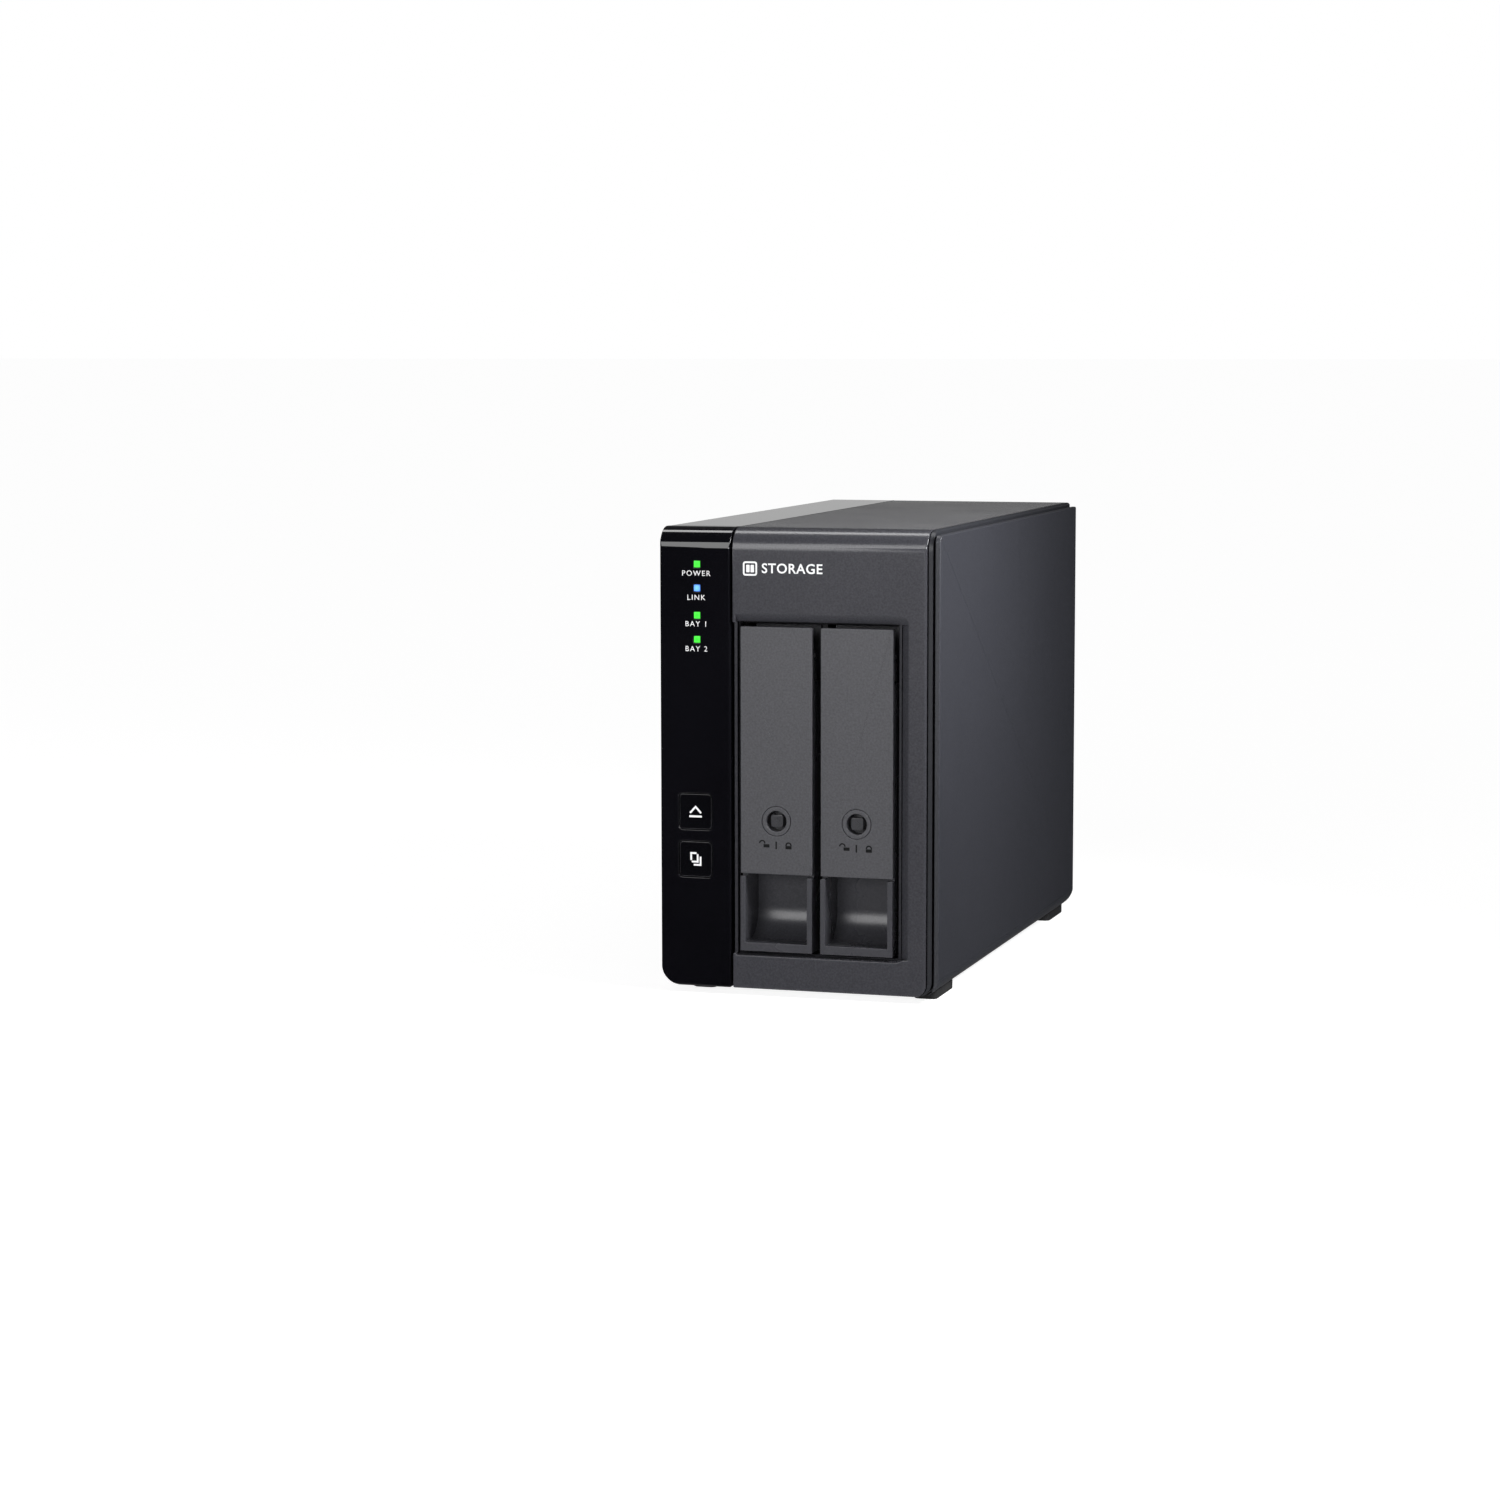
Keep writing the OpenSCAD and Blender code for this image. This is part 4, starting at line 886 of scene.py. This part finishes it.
def build_buttons(settings):
    """Polished caps with white signs, and their switches."""
    line = settings.line / MM
    layer = settings.layer / MM
    finish_nodes((("eject_button", "button", 0.25), ("set_button", "button", 0.25),
                  ("button_switches", "chip", 0.15)))
    signs = {
        "eject_button": [
            stroke([(-2.05, -0.55), (0, 1.65), (2.05, -0.55)], line),
            rounded(-2.35, -2.1, 2.35, -1.4, 0.1),
        ],
        "set_button": [
            stroke([(-1.7, -0.4), (-1.7, 2.1), (0.3, 2.1)], line),
            stroke([(0.72, 1.75), (0.72, -0.93), (-1.5, -0.93)], line),
            stroke([(1.78, 0.9), (1.78, -2.05), (-0.75, -2.05)], line),
        ],
    }
    for node, outlines in signs.items():
        spot = centre(node)
        sign = mark(f"sign_{node}", outlines, (spot.x, low_of(node).y, spot.z), thickness=layer)
        add_print(sign, node)


# ---- Trays ----


SHACKLE_WIDTH = 0.48


def padlock(x, z, opened):
    """Outlines of a small padlock, its shackle shut or swung to the left."""
    body = rounded(x - 1.1, z, x + 1.1, z + 1.15, 0.12)
    if opened:
        shackle = arc(x - 1.55, z + 1.45, 0.95, 12, 168, 10)
        ends = [shackle[0] + Vector((0.02, -0.3)), *shackle, shackle[-1] + Vector((0, -0.2))]
        return [body, stroke(ends, SHACKLE_WIDTH)]
    shackle = arc(x, z + 1.35, 0.9, 0, 180, 10)
    ends = [shackle[0] + Vector((0, -0.3)), *shackle, shackle[-1] + Vector((0, -0.3))]
    return [body, stroke(ends, SHACKLE_WIDTH)]


def build_tray(number, settings, shell_settings):
    """One tray with its handle, lock and drive strips."""
    edge = shell_settings.edge / MM
    body, plate, pin, ring, core, strips = (
        f"{part}_{number}"
        for part in ("tray_body", "handle_plate", "handle_pin", "lock_ring", "lock_core", "drive_strips"))
    finish_nodes(((body, "tray", 0.12), (plate, "handle", edge, 0.1), (pin, "steel", 0.15),
                  (ring, "handle", 0.22), (core, "lock", 0.1), (strips, "strip", 0.2)))
    spot = centre(ring)
    x, y = spot.x, low_of(plate).y
    lock_z = centre(ring).z
    outlines = (padlock(x - 3.6, lock_z - 9.4, True) + padlock(x + 4.5, lock_z - 9.75, False)
                + [rounded(x - 0.3, lock_z - 9.9, x + 0.22, lock_z - 7.2, 0.1)])
    signs = mark(f"lock_signs_{number}", outlines, (0, y, 0), thickness=settings.layer / MM)
    add_detail(signs, plate, "black_ink", "lock_black")
    # Raised line round the opening of the square drive
    hollow = drum(f"lock_drive_hole_{number}", (x, low_of(core).y + 0.02, lock_z), 1.05, 0.5, REAR, 0.1, 4)
    add_detail(hollow, core, "lock")


# ---- Drives ----

HUB_FROM_FRONT = 52
BAR_WIDTHS = (0.5, 1.2, 0.4, 0.8, 0.5, 1.4, 0.4, 0.9, 0.6, 1.1, 0.4, 0.7)
# Chips on the drive's board: Y and Z of a corner, width and height
DRIVE_CHIPS = ((52, 34, 16, 16), (30, 12, 10, 14), (78, 60, 9, 9), (24, 58, 12, 8),
               (86, 22, 6, 10), (10, 36, 5, 5))


def build_drive(number):
    """One 3.5 inch drive: casting, lid, hub, screws, blank label and circuit board."""
    node = f"hard_drive_{number}"
    finish_node(node, "cast", 0.3)
    low, high = low_of(node), high_of(node)
    face = low.x
    mid_z = (low.z + high.z) / 2
    hub_y = low.y + HUB_FROM_FRONT

    def add(piece, material, slot=None):
        add_detail(piece, node, material, slot)

    def draw(name, outlines, sunk, thickness):
        # Drawn as seen from the left, where Y runs from right to left
        turned = [[(-y, z) for y, z in outline] for outline in outlines]
        return mark(f"{name}_{number}", turned, (face + sunk, 0, 0), LEFT, thickness)

    lid = draw("drive_lid", [rounded(low.y + 5, low.z + 4, high.y - 9, high.z - 4, 5.5, 6)], 0.12, 0.3)
    add(soften(lid, 0.1), "lid")
    add(washer(f"drive_hub_ring_{number}", (face - 0.02, hub_y, mid_z), 15, 13.6, 0.3, LEFT), "lid")
    add(drum(f"drive_hub_cap_{number}", (face + 0.02, hub_y, mid_z), 4.2, 0.3, LEFT, 0.1), "nickel")
    outline = rounded(hub_y + 20, mid_z - 36, high.y - 16, mid_z + 36, 1.5)
    add(draw("drive_label", [outline], -0.02, 0.04), "label", "drive_metal")
    bars = []
    for i, stop in enumerate((34, 28, 38, 22)):
        z = mid_z + 26 - i * 5
        bars.append(rounded(hub_y + 26, z, hub_y + 22 + stop, z + 1.6, 0.1, 1))
    for i, thick in enumerate(BAR_WIDTHS):
        y = hub_y + 26 + i * 2.2
        bars.append(rounded(y, mid_z - 30, y + thick, mid_z - 18, 0.05, 1))
    add(draw("drive_label_print", bars, -0.04, 0.02), "black_ink", "drive_metal")
    screws = []
    for y, inset in ((low.y + 9, 8), (hub_y + 8, 7.5), (high.y - 13, 8)):
        for z in (low.z + inset, high.z - inset):
            screws.append(drum("head", (face, y, z), 1.9, 0.35, LEFT, 0.12, 24))
            screws.append(drum("recess", (face - 0.16, y, z), 0.75, 0.06, LEFT, 0, 6))
    add(join(screws, f"drive_lid_screws_{number}"), "nickel", "screw_steel")
    # Circuit board in its recess, with chips and the spindle contacts
    board_x = high.x - 1.2
    y0, y1, z0, z1 = low.y + 30.4, high.y - 3.4, low.z + 4.4, high.z - 4.4
    add(block(f"drive_board_{number}", (board_x, y0, z0), (board_x + 0.9, y1, z1), 0.15), "board",
        "board_green")
    chips = [((board_x + 0.85, y0 + y, z0 + z), (board_x + 1.2, y0 + y + w, z0 + z + h))
             for y, z, w, h in DRIVE_CHIPS]
    add_blocks(node, f"drive_chips_{number}", chips, 0.08, "chip", "switch_body", 2)
    small = [((board_x + 0.85, y0 + 8 + 5.5 * i, z0 + 5 + (i * 37) % 78),
              (board_x + 1.1, y0 + 9.6 + 5.5 * i, z0 + 5.9 + (i * 37) % 78)) for i in range(18)]
    add_blocks(node, f"drive_small_parts_{number}", small, 0.05, "solder", "drive_metal")
    pads = [drum("pad", (board_x + 0.9, hub_y - 8 + 3 * i, mid_z), 0.9, 0.1, RIGHT, 0.02, 16)
            for i in range(4)]
    add(join(pads, f"drive_spindle_pads_{number}"), "gold", "drive_metal")


# ---- Cage and boards ----


def build_cage():
    """Zinc-dipped cage with the guides, and the formed beads of its walls."""
    finish_nodes((("drive_cage", "zinc", 0.15), ("lower_guide", "guide", 0.25),
                  ("upper_guide", "guide", 0.25), ("cage_screws", "steel", 0.25)))
    low, high = low_of("drive_cage"), high_of("drive_cage")
    sheet = 0.25
    beads = [((x - 2, low.y + 12, high.z - 0.05), (x + 2, high.y - 12, high.z + sheet))
             for x in (-20, 6, 32)]
    add_blocks("drive_cage", "cage_beads", beads, sheet, "zinc", segments=3)
    heads = []
    low, high = low_of("cage_screws"), high_of("cage_screws")
    reach = 2.6
    for x in (low.x + reach, high.x - reach):
        for y in (low.y + reach, high.y - reach):
            heads.append(drum("socket", (x, y, high.z + 0.02), 1.3, 0.05, UP, 0, 6))
    add_detail(join(heads, "cage_screw_sockets"), "cage_screws", "black_steel")


def chips_on(node, name, rows, x0, x1, material, edge=0.1):
    """Small parts standing off a board between two X, each as y, z, width and height."""
    corners = [((x0, y - w / 2, z - h / 2), (x1, y + w / 2, z + h / 2)) for y, z, w, h in rows]
    return add_blocks(node, name, corners, edge, material)


def build_boards():
    """Main board, backplane and front board with their parts."""
    finish_nodes((
        ("main_board", "board", 0.1), ("backplane_board", "board", 0.1), ("front_board", "board", 0.1),
        ("controller_chip", "chip", 0.1), ("heatsink", "aluminium", 0.12), ("front_ribbon", "ivory", 0.06),
        ("ribbon_connectors", "ivory", 0.15), ("sata_connectors", "guide", 0.12),
        ("board_screws", "steel", 0.25),
    ))
    low = low_of("main_board")
    x = low.x
    chips_on("main_board", "board_resistors",
             [(low.y + 60 + 7 * (i % 12), low.z + 8 + 5.5 * (i // 12) + (i * 13) % 3, 1.6, 0.8)
              for i in range(36)], x - 0.5, x + 0.05, "chip", 0.05)
    chips_on("main_board", "board_capacitor_bodies",
             [(low.y + 64 + 6.5 * i, low.z + 96 + 4 * (i % 3), 3.2, 1.6) for i in range(10)],
             x - 0.9, x + 0.05, "red", 0.1)
    cans = []
    for i in range(4):
        spot = (x - 2.7, low.y + 112, low.z + 26 + 9 * i)
        cans.append(drum("can", spot, 3.1, 5.4, LEFT, 0.5, 32, 3))
    add_detail(join(cans, "board_capacitors"), "main_board", "aluminium", "heatsink_alu")
    coils = [((x - 3.4, low.y + 96, low.z + 26 + 11 * i), (x + 0.05, low.y + 103, low.z + 33 + 11 * i))
             for i in range(3)]
    add_blocks("main_board", "board_coils", coils, 0.6, "chip", "switch_body", 3)
    pads = [((x - 0.35, low.y + 36 + 1.6 * i, low.z + 108), (x + 0.02, low.y + 36.6 + 1.6 * i, low.z + 112))
            for i in range(14)]
    add_blocks("main_board", "board_header_pads", pads, 0.05, "gold", "port_metal")
    # Backplane: gold fingers of the drive sockets
    for tray in TRAYS:
        drive = f"hard_drive_{tray}"
        tongue_x = centre(drive).x + 6.5
        y = low_of("sata_connectors").y
        fingers = [((tongue_x - 0.72, y + 0.4, z), (tongue_x - 0.55, y + 3.6, z + 0.7))
                   for z in [36.6 + 1.27 * i for i in range(15)] + [57.3 + 1.27 * i for i in range(7)]]
        add_blocks("sata_connectors", f"socket_fingers_{tray}", fingers, 0.05, "gold", "port_metal")
    low = low_of("backplane_board")
    parts = [((-24 + 6 * i, low.y - 0.7, 24 + (i * 17) % 9),
              (-22 + 6 * i, low.y + 0.05, 25.2 + (i * 17) % 9)) for i in range(9)]
    add_blocks("backplane_board", "backplane_parts", parts, 0.06, "chip", "switch_body")
    low = low_of("front_board")
    parts = [((-45.5 + 2.2 * (i % 3), low.y - 0.5, 84 + 8 * (i // 3)),
              (-44.3 + 2.2 * (i % 3), low.y + 0.05, 84.8 + 8 * (i // 3))) for i in range(15)]
    add_blocks("front_board", "front_board_parts", parts, 0.05, "solder", "screw_steel")
    # Creases of the flat ribbon's conductors
    low, high = low_of("front_ribbon"), high_of("front_ribbon")
    lines = [((low.x - 0.05, low.y + 0.4, low.z + 0.5 + i), (high.x + 0.05, high.y - 0.4, low.z + 0.8 + i))
             for i in range(12)]
    add_blocks("front_ribbon", "ribbon_conductors", lines, 0.04, "solder", "emitter")


# ---- Fan, ports and screws ----

# X and Z of the sign below the security slot
KEY_SIGN = (-38, 28.6)


def build_fan():
    """Fan frame, rotor and lead."""
    finish_nodes((("fan_frame", "guide", 0.2), ("fan_rotor", "blade", 0.12), ("fan_lead", "red", 0.2),
                  ("fan_screws", "black_steel", 0.12)))
    low, high = low_of("fan_rotor"), high_of("fan_rotor")
    middle = (low + high) / 2
    label = washer("hub_label", (middle.x, low_of("fan_frame").y + 0.82, middle.z), 9.5, 2.0, 0.04, FRONT,
                   0.01)
    add_detail(label, "fan_rotor", "label")
    back = high_of("fan_frame").y
    plate = drum("motor_label", (middle.x, back + 0.03, middle.z), 11.5, 0.06, REAR, 0.01, 64)
    add_detail(plate, "fan_frame", "label")


def contact_row(name, node, x, y, zs, width, depth, height):
    """Row of small gold contacts."""
    pins = [((x - width / 2, y - depth, z - height / 2), (x + width / 2, y, z + height / 2)) for z in zs]
    return add_blocks(node, name, pins, 0.03, "gold")


def build_rear(settings):
    """Ports, power button, mode switches, their print and the rear screws."""
    layer = settings.layer / MM
    finish_nodes((
        ("usb_port", "nickel", 0.08), ("dc_inlet", "guide", 0.15), ("power_button", "lock", 0.3),
        ("power_switch", "chip", 0.15), ("mode_switch_bank", "switch_blue", 0.06),
        ("mode_slider_1", "switch_white", 0.05), ("mode_slider_2", "switch_white", 0.05),
        ("mode_slider_3", "switch_white", 0.05), ("rear_screws", "black_steel", 0.12),
    ))
    port = centre("usb_port")
    back = high_of("usb_port").y
    for side, name in ((-1, "usb_contacts_left"), (1, "usb_contacts_right")):
        contact_row(name, "usb_port", port.x + side * 0.36, back - 0.9,
                    [port.z - 2.75 + 0.5 * i for i in range(12)], 0.06, 4.6, 0.26)
    inlet = centre("dc_inlet")
    pin = drum("inlet_pin", (inlet.x, high_of("dc_inlet").y - 4.2, inlet.z), 1.06, 5.6, REAR, 0.3, 24)
    add_detail(pin, "dc_inlet", "nickel", "port_metal")
    ring = washer("inlet_ring", (inlet.x, high_of("dc_inlet").y - 0.1, inlet.z), 4.0, 3.15, 0.2, REAR, 0.05)
    add_detail(ring, "dc_inlet", "nickel", "port_metal")
    face = high_of("rear_panel").y

    def draw(name, outlines, x, z):
        sign = mark(name, outlines, (x, face, z), REAR, layer)
        add_print(sign, "rear_panel")

    button = centre("power_button")
    power = [stroke(arc(0, 0, 1.5, 125, 415, 20), 0.45), rounded(-0.22, 0.2, 0.22, 2.0, 0.1)]
    draw("power_sign", power, button.x, button.z - 8.6)
    ring_y = high_of("power_button").y
    button_sign = mark("button_sign", power, (button.x, ring_y, button.z), REAR, layer)
    add_print(button_sign, "power_button")
    draw("inlet_sign", [stroke(arc(0, 0, 1.5, 20, 340, 20), 0.35), arc(0, 0, 0.6, 0, 340, 12),
                        stroke([(0, 0), (-3.6, 0)], 0.35), stroke([(1.5, 0), (3.6, 0)], 0.35)],
         inlet.x, inlet.z - 8.4)
    draw("port_sign", [stroke([(-1.6, 0), (1.6, 0)], 0.4), [(1.5, 0.7), (2.8, 0), (1.5, -0.7)],
                       [(-1.5, -0.7), (-2.8, 0), (-1.5, 0.7)]], port.x, port.z - 7.6)
    for number in (1, 2, 3):
        slider = centre(f"mode_slider_{number}")
        digit = lettering(f"mode_number_{number}", str(number), 1.5, (slider.x - 3.9, face, slider.z),
                          REAR, layer)
        add_print(digit, "rear_panel")
    draw("key_sign", padlock(0, 0, False), *KEY_SIGN)
    # Turned edge of the fan guard
    fan = centre("fan_rotor")
    rim = washer("guard_rim", (fan.x, face + 0.1, fan.z), 34.6, 33.2, 0.24, REAR, 0.08, 96)
    add_detail(rim, "rear_panel", "powder")


# ---- Stage ----


def softbox(name, place, target, size, power):
    """Soft rectangular light that faces a target."""
    data = bpy.data.lights.new(name, "AREA")
    data.shape = "RECTANGLE"
    data.size, data.size_y = size
    data.energy = power
    lamp = bpy.data.objects.new(name, data)
    bpy.context.scene.collection.objects.link(lamp)
    lamp.location = place
    lamp.rotation_euler = (Vector(target) - Vector(place)).to_track_quat("-Z", "Y").to_euler()
    lamp.visible_camera = False
    return lamp


def build_world():
    """White behind the camera's view, and soft room light by direction."""
    world = bpy.data.worlds.new("studio")
    bpy.context.scene.world = world
    world.use_nodes = True
    shader = Shader(world.node_tree)
    ray = shader.add("ShaderNodeTexCoord").outputs["Generated"]
    parts = shader.add("ShaderNodeSeparateXYZ", {"Vector": ray}).outputs
    back = shader.spread(parts["Y"], -0.2, 0.7, 0.06, 0.66)
    rise = shader.spread(parts["Z"], 0.0, 0.03, 0.04, 1.0)
    fall = shader.spread(parts["Z"], 0.07, 0.12, 1.0, 0.1)
    left = shader.spread(parts["X"], 0.0, 0.3, 1.0, 0.1)
    band = shader.sum("MULTIPLY", shader.sum("MULTIPLY", back, left), shader.sum("MULTIPLY", rise, fall))
    below = shader.spread(parts["Z"], -0.35, -0.7, 0.0, 0.5)
    level = shader.sum("ADD", band, below)
    room = shader.add("ShaderNodeBackground", {"Strength": level})
    white = shader.add("ShaderNodeBackground", {"Strength": 1.0, "Color": (1, 1, 1, 1)})
    seen = shader.add("ShaderNodeLightPath").outputs["Is Camera Ray"]
    mix = shader.add("ShaderNodeMixShader", {0: seen, 1: room.outputs[0], 2: white.outputs[0]})
    shader.add("ShaderNodeOutputWorld", {"Surface": mix.outputs[0]})


FLOOR_GLOW = 0.88


def floor_material(tone):
    """Pale matt floor."""
    def build(shader):
        cloud = shader.noise(3.0, 2.0)
        base = shader.tint(cloud, shade((tone, tone, tone), 0.985), shade((tone, tone, tone), 1.0))
        return shader.surface(Base_Color=base, Roughness=0.9, Specular_IOR_Level=0.0,
                              Emission_Color=(1, 1, 1, 1), Emission_Strength=FLOOR_GLOW)
    return make_material("studio_floor", build)


FLOOR_SIZE = 60
SIDE_SPREAD = math.radians(80)
OVERHEAD_ANGLE = math.radians(120)
SENSOR_WIDTH = 36
CAMERA_PLACE = (0.3620, -1.3253, 0.2333)
CAMERA_TURN = (83.473, 0.1, 17.333)


def build_stage(stage):
    """Floor, soft lights, world and camera."""
    clear_selection()
    bpy.ops.mesh.primitive_plane_add(size=FLOOR_SIZE)
    floor = take_new("studio_floor")
    floor.data.materials.append(floor_material(stage.floor_tone))
    floor.visible_glossy = False
    build_world()
    front = softbox("front_softbox", (-0.36, -1.31, 0.60), (-0.05, 0, 0.13), (0.8, 0.74), stage.front_light)
    front.visible_diffuse = False
    top = softbox("top_softbox", (-0.25, 0.12, 1.0), (-0.25, 0.12, 0), (0.8, 0.24), stage.top_light)
    top.visible_diffuse = False
    side = softbox("side_softbox", (0.30, -0.13, 0.31), (0.051, -0.09, 0.15), (0.16, 0.16), stage.side_light)
    side.data.spread = SIDE_SPREAD
    fill = softbox("front_fill", (-0.12, -1.4, 0.28), (0, 0, 0.06), (0.7, 0.5), stage.fill_light)
    fill.visible_glossy = False
    sky = bpy.data.lights.new("overhead", "SUN")
    sky.energy = stage.overhead_light
    sky.angle = OVERHEAD_ANGLE
    overhead = bpy.data.objects.new("overhead", sky)
    bpy.context.scene.collection.objects.link(overhead)
    overhead.visible_glossy = False
    data = bpy.data.cameras.new("view")
    data.lens = stage.focal_length
    data.sensor_width = SENSOR_WIDTH
    camera = bpy.data.objects.new("view", data)
    bpy.context.scene.collection.objects.link(camera)
    camera.location = CAMERA_PLACE
    camera.rotation_euler = [math.radians(angle) for angle in CAMERA_TURN]
    bpy.context.scene.camera = camera
    bpy.context.scene.view_settings.view_transform = "Standard"
    clear_selection()


# ---- Operators, one for each group of pieces ----


class STORAGE_OT_stage(bpy.types.Operator):
    """Adds the floor, the soft lights and the camera"""

    bl_idname = "storage.stage"
    bl_label = "Stage"

    def execute(self, context):
        build_stage(context.scene.storage_stage)
        return {"FINISHED"}


class STORAGE_OT_housing(bpy.types.Operator):
    """Finishes the bezel, covers, base, rear wall and feet"""

    bl_idname = "storage.housing"
    bl_label = "Housing"

    def execute(self, context):
        build_housing(context.scene.storage_shell)
        return {"FINISHED"}


class STORAGE_OT_lamps(bpy.types.Operator):
    """Lights the four front lamps"""

    bl_idname = "storage.lamps"
    bl_label = "Lamps"

    def execute(self, context):
        build_lamps(context.scene.storage_lamps)
        return {"FINISHED"}


class STORAGE_OT_front_print(bpy.types.Operator):
    """Prints the lamp labels and the sign on the bezel"""

    bl_idname = "storage.front_print"
    bl_label = "Front print"

    def execute(self, context):
        print_labels(context.scene.storage_print)
        print_sign(context.scene.storage_print)
        return {"FINISHED"}


class STORAGE_OT_buttons(bpy.types.Operator):
    """Finishes the eject and set buttons with their signs"""

    bl_idname = "storage.buttons"
    bl_label = "Front buttons"

    def execute(self, context):
        build_buttons(context.scene.storage_print)
        return {"FINISHED"}


class STORAGE_OT_trays(bpy.types.Operator):
    """Finishes both trays with their handles and locks"""

    bl_idname = "storage.trays"
    bl_label = "Trays"

    def execute(self, context):
        for number in TRAYS:
            build_tray(number, context.scene.storage_print, context.scene.storage_shell)
        return {"FINISHED"}


class STORAGE_OT_drives(bpy.types.Operator):
    """Finishes both hard drives"""

    bl_idname = "storage.drives"
    bl_label = "Hard drives"

    def execute(self, context):
        for number in TRAYS:
            build_drive(number)
        return {"FINISHED"}


class STORAGE_OT_cage(bpy.types.Operator):
    """Finishes the drive cage and the tray guides"""

    bl_idname = "storage.cage"
    bl_label = "Drive cage"

    def execute(self, context):
        build_cage()
        return {"FINISHED"}


class STORAGE_OT_boards(bpy.types.Operator):
    """Finishes the circuit boards with their parts"""

    bl_idname = "storage.boards"
    bl_label = "Circuit boards"

    def execute(self, context):
        build_boards()
        return {"FINISHED"}


class STORAGE_OT_fan(bpy.types.Operator):
    """Finishes the fan and its lead"""

    bl_idname = "storage.fan"
    bl_label = "Fan"

    def execute(self, context):
        build_fan()
        return {"FINISHED"}


class STORAGE_OT_rear(bpy.types.Operator):
    """Finishes the rear ports, switches, print and screws"""

    bl_idname = "storage.rear"
    bl_label = "Rear"

    def execute(self, context):
        build_rear(context.scene.storage_print)
        return {"FINISHED"}


OPERATORS = (
    STORAGE_OT_stage,
    STORAGE_OT_housing,
    STORAGE_OT_lamps,
    STORAGE_OT_front_print,
    STORAGE_OT_buttons,
    STORAGE_OT_trays,
    STORAGE_OT_drives,
    STORAGE_OT_cage,
    STORAGE_OT_boards,
    STORAGE_OT_fan,
    STORAGE_OT_rear,
)
GROUPS = (
    ("storage_shell", STORAGE_PG_shell),
    ("storage_print", STORAGE_PG_print),
    ("storage_lamps", STORAGE_PG_lamps),
    ("storage_stage", STORAGE_PG_stage),
)


class STORAGE_PT_panel(bpy.types.Panel):
    """Settings and steps of the storage enclosure."""

    bl_idname = "STORAGE_PT_panel"
    bl_label = "Storage enclosure"
    bl_space_type = "VIEW_3D"
    bl_region_type = "UI"
    bl_category = "Storage"

    def draw(self, context):
        for attribute, group in GROUPS:
            box = self.layout.box()
            box.label(text=group.__doc__)
            for key in group.__annotations__:
                box.prop(getattr(context.scene, attribute), key)
        for operator in OPERATORS:
            self.layout.operator(operator.bl_idname)


def register():
    """Registers the settings, the operators and the panel."""
    for attribute, group in GROUPS:
        bpy.utils.register_class(group)
        setattr(bpy.types.Scene, attribute, PointerProperty(type=group))
    for operator in OPERATORS:
        bpy.utils.register_class(operator)
    bpy.utils.register_class(STORAGE_PT_panel)


def unregister():
    """Removes what register added."""
    bpy.utils.unregister_class(STORAGE_PT_panel)
    for operator in reversed(OPERATORS):
        bpy.utils.unregister_class(operator)
    for attribute, group in reversed(GROUPS):
        delattr(bpy.types.Scene, attribute)
        bpy.utils.unregister_class(group)


def main():
    """Builds every group in order."""
    register()
    bpy.ops.storage.stage()
    bpy.ops.storage.housing()
    bpy.ops.storage.lamps()
    bpy.ops.storage.front_print()
    bpy.ops.storage.buttons()
    bpy.ops.storage.trays()
    bpy.ops.storage.drives()
    bpy.ops.storage.cage()
    bpy.ops.storage.boards()
    bpy.ops.storage.fan()
    bpy.ops.storage.rear()


if __name__ == "__main__":
    main()
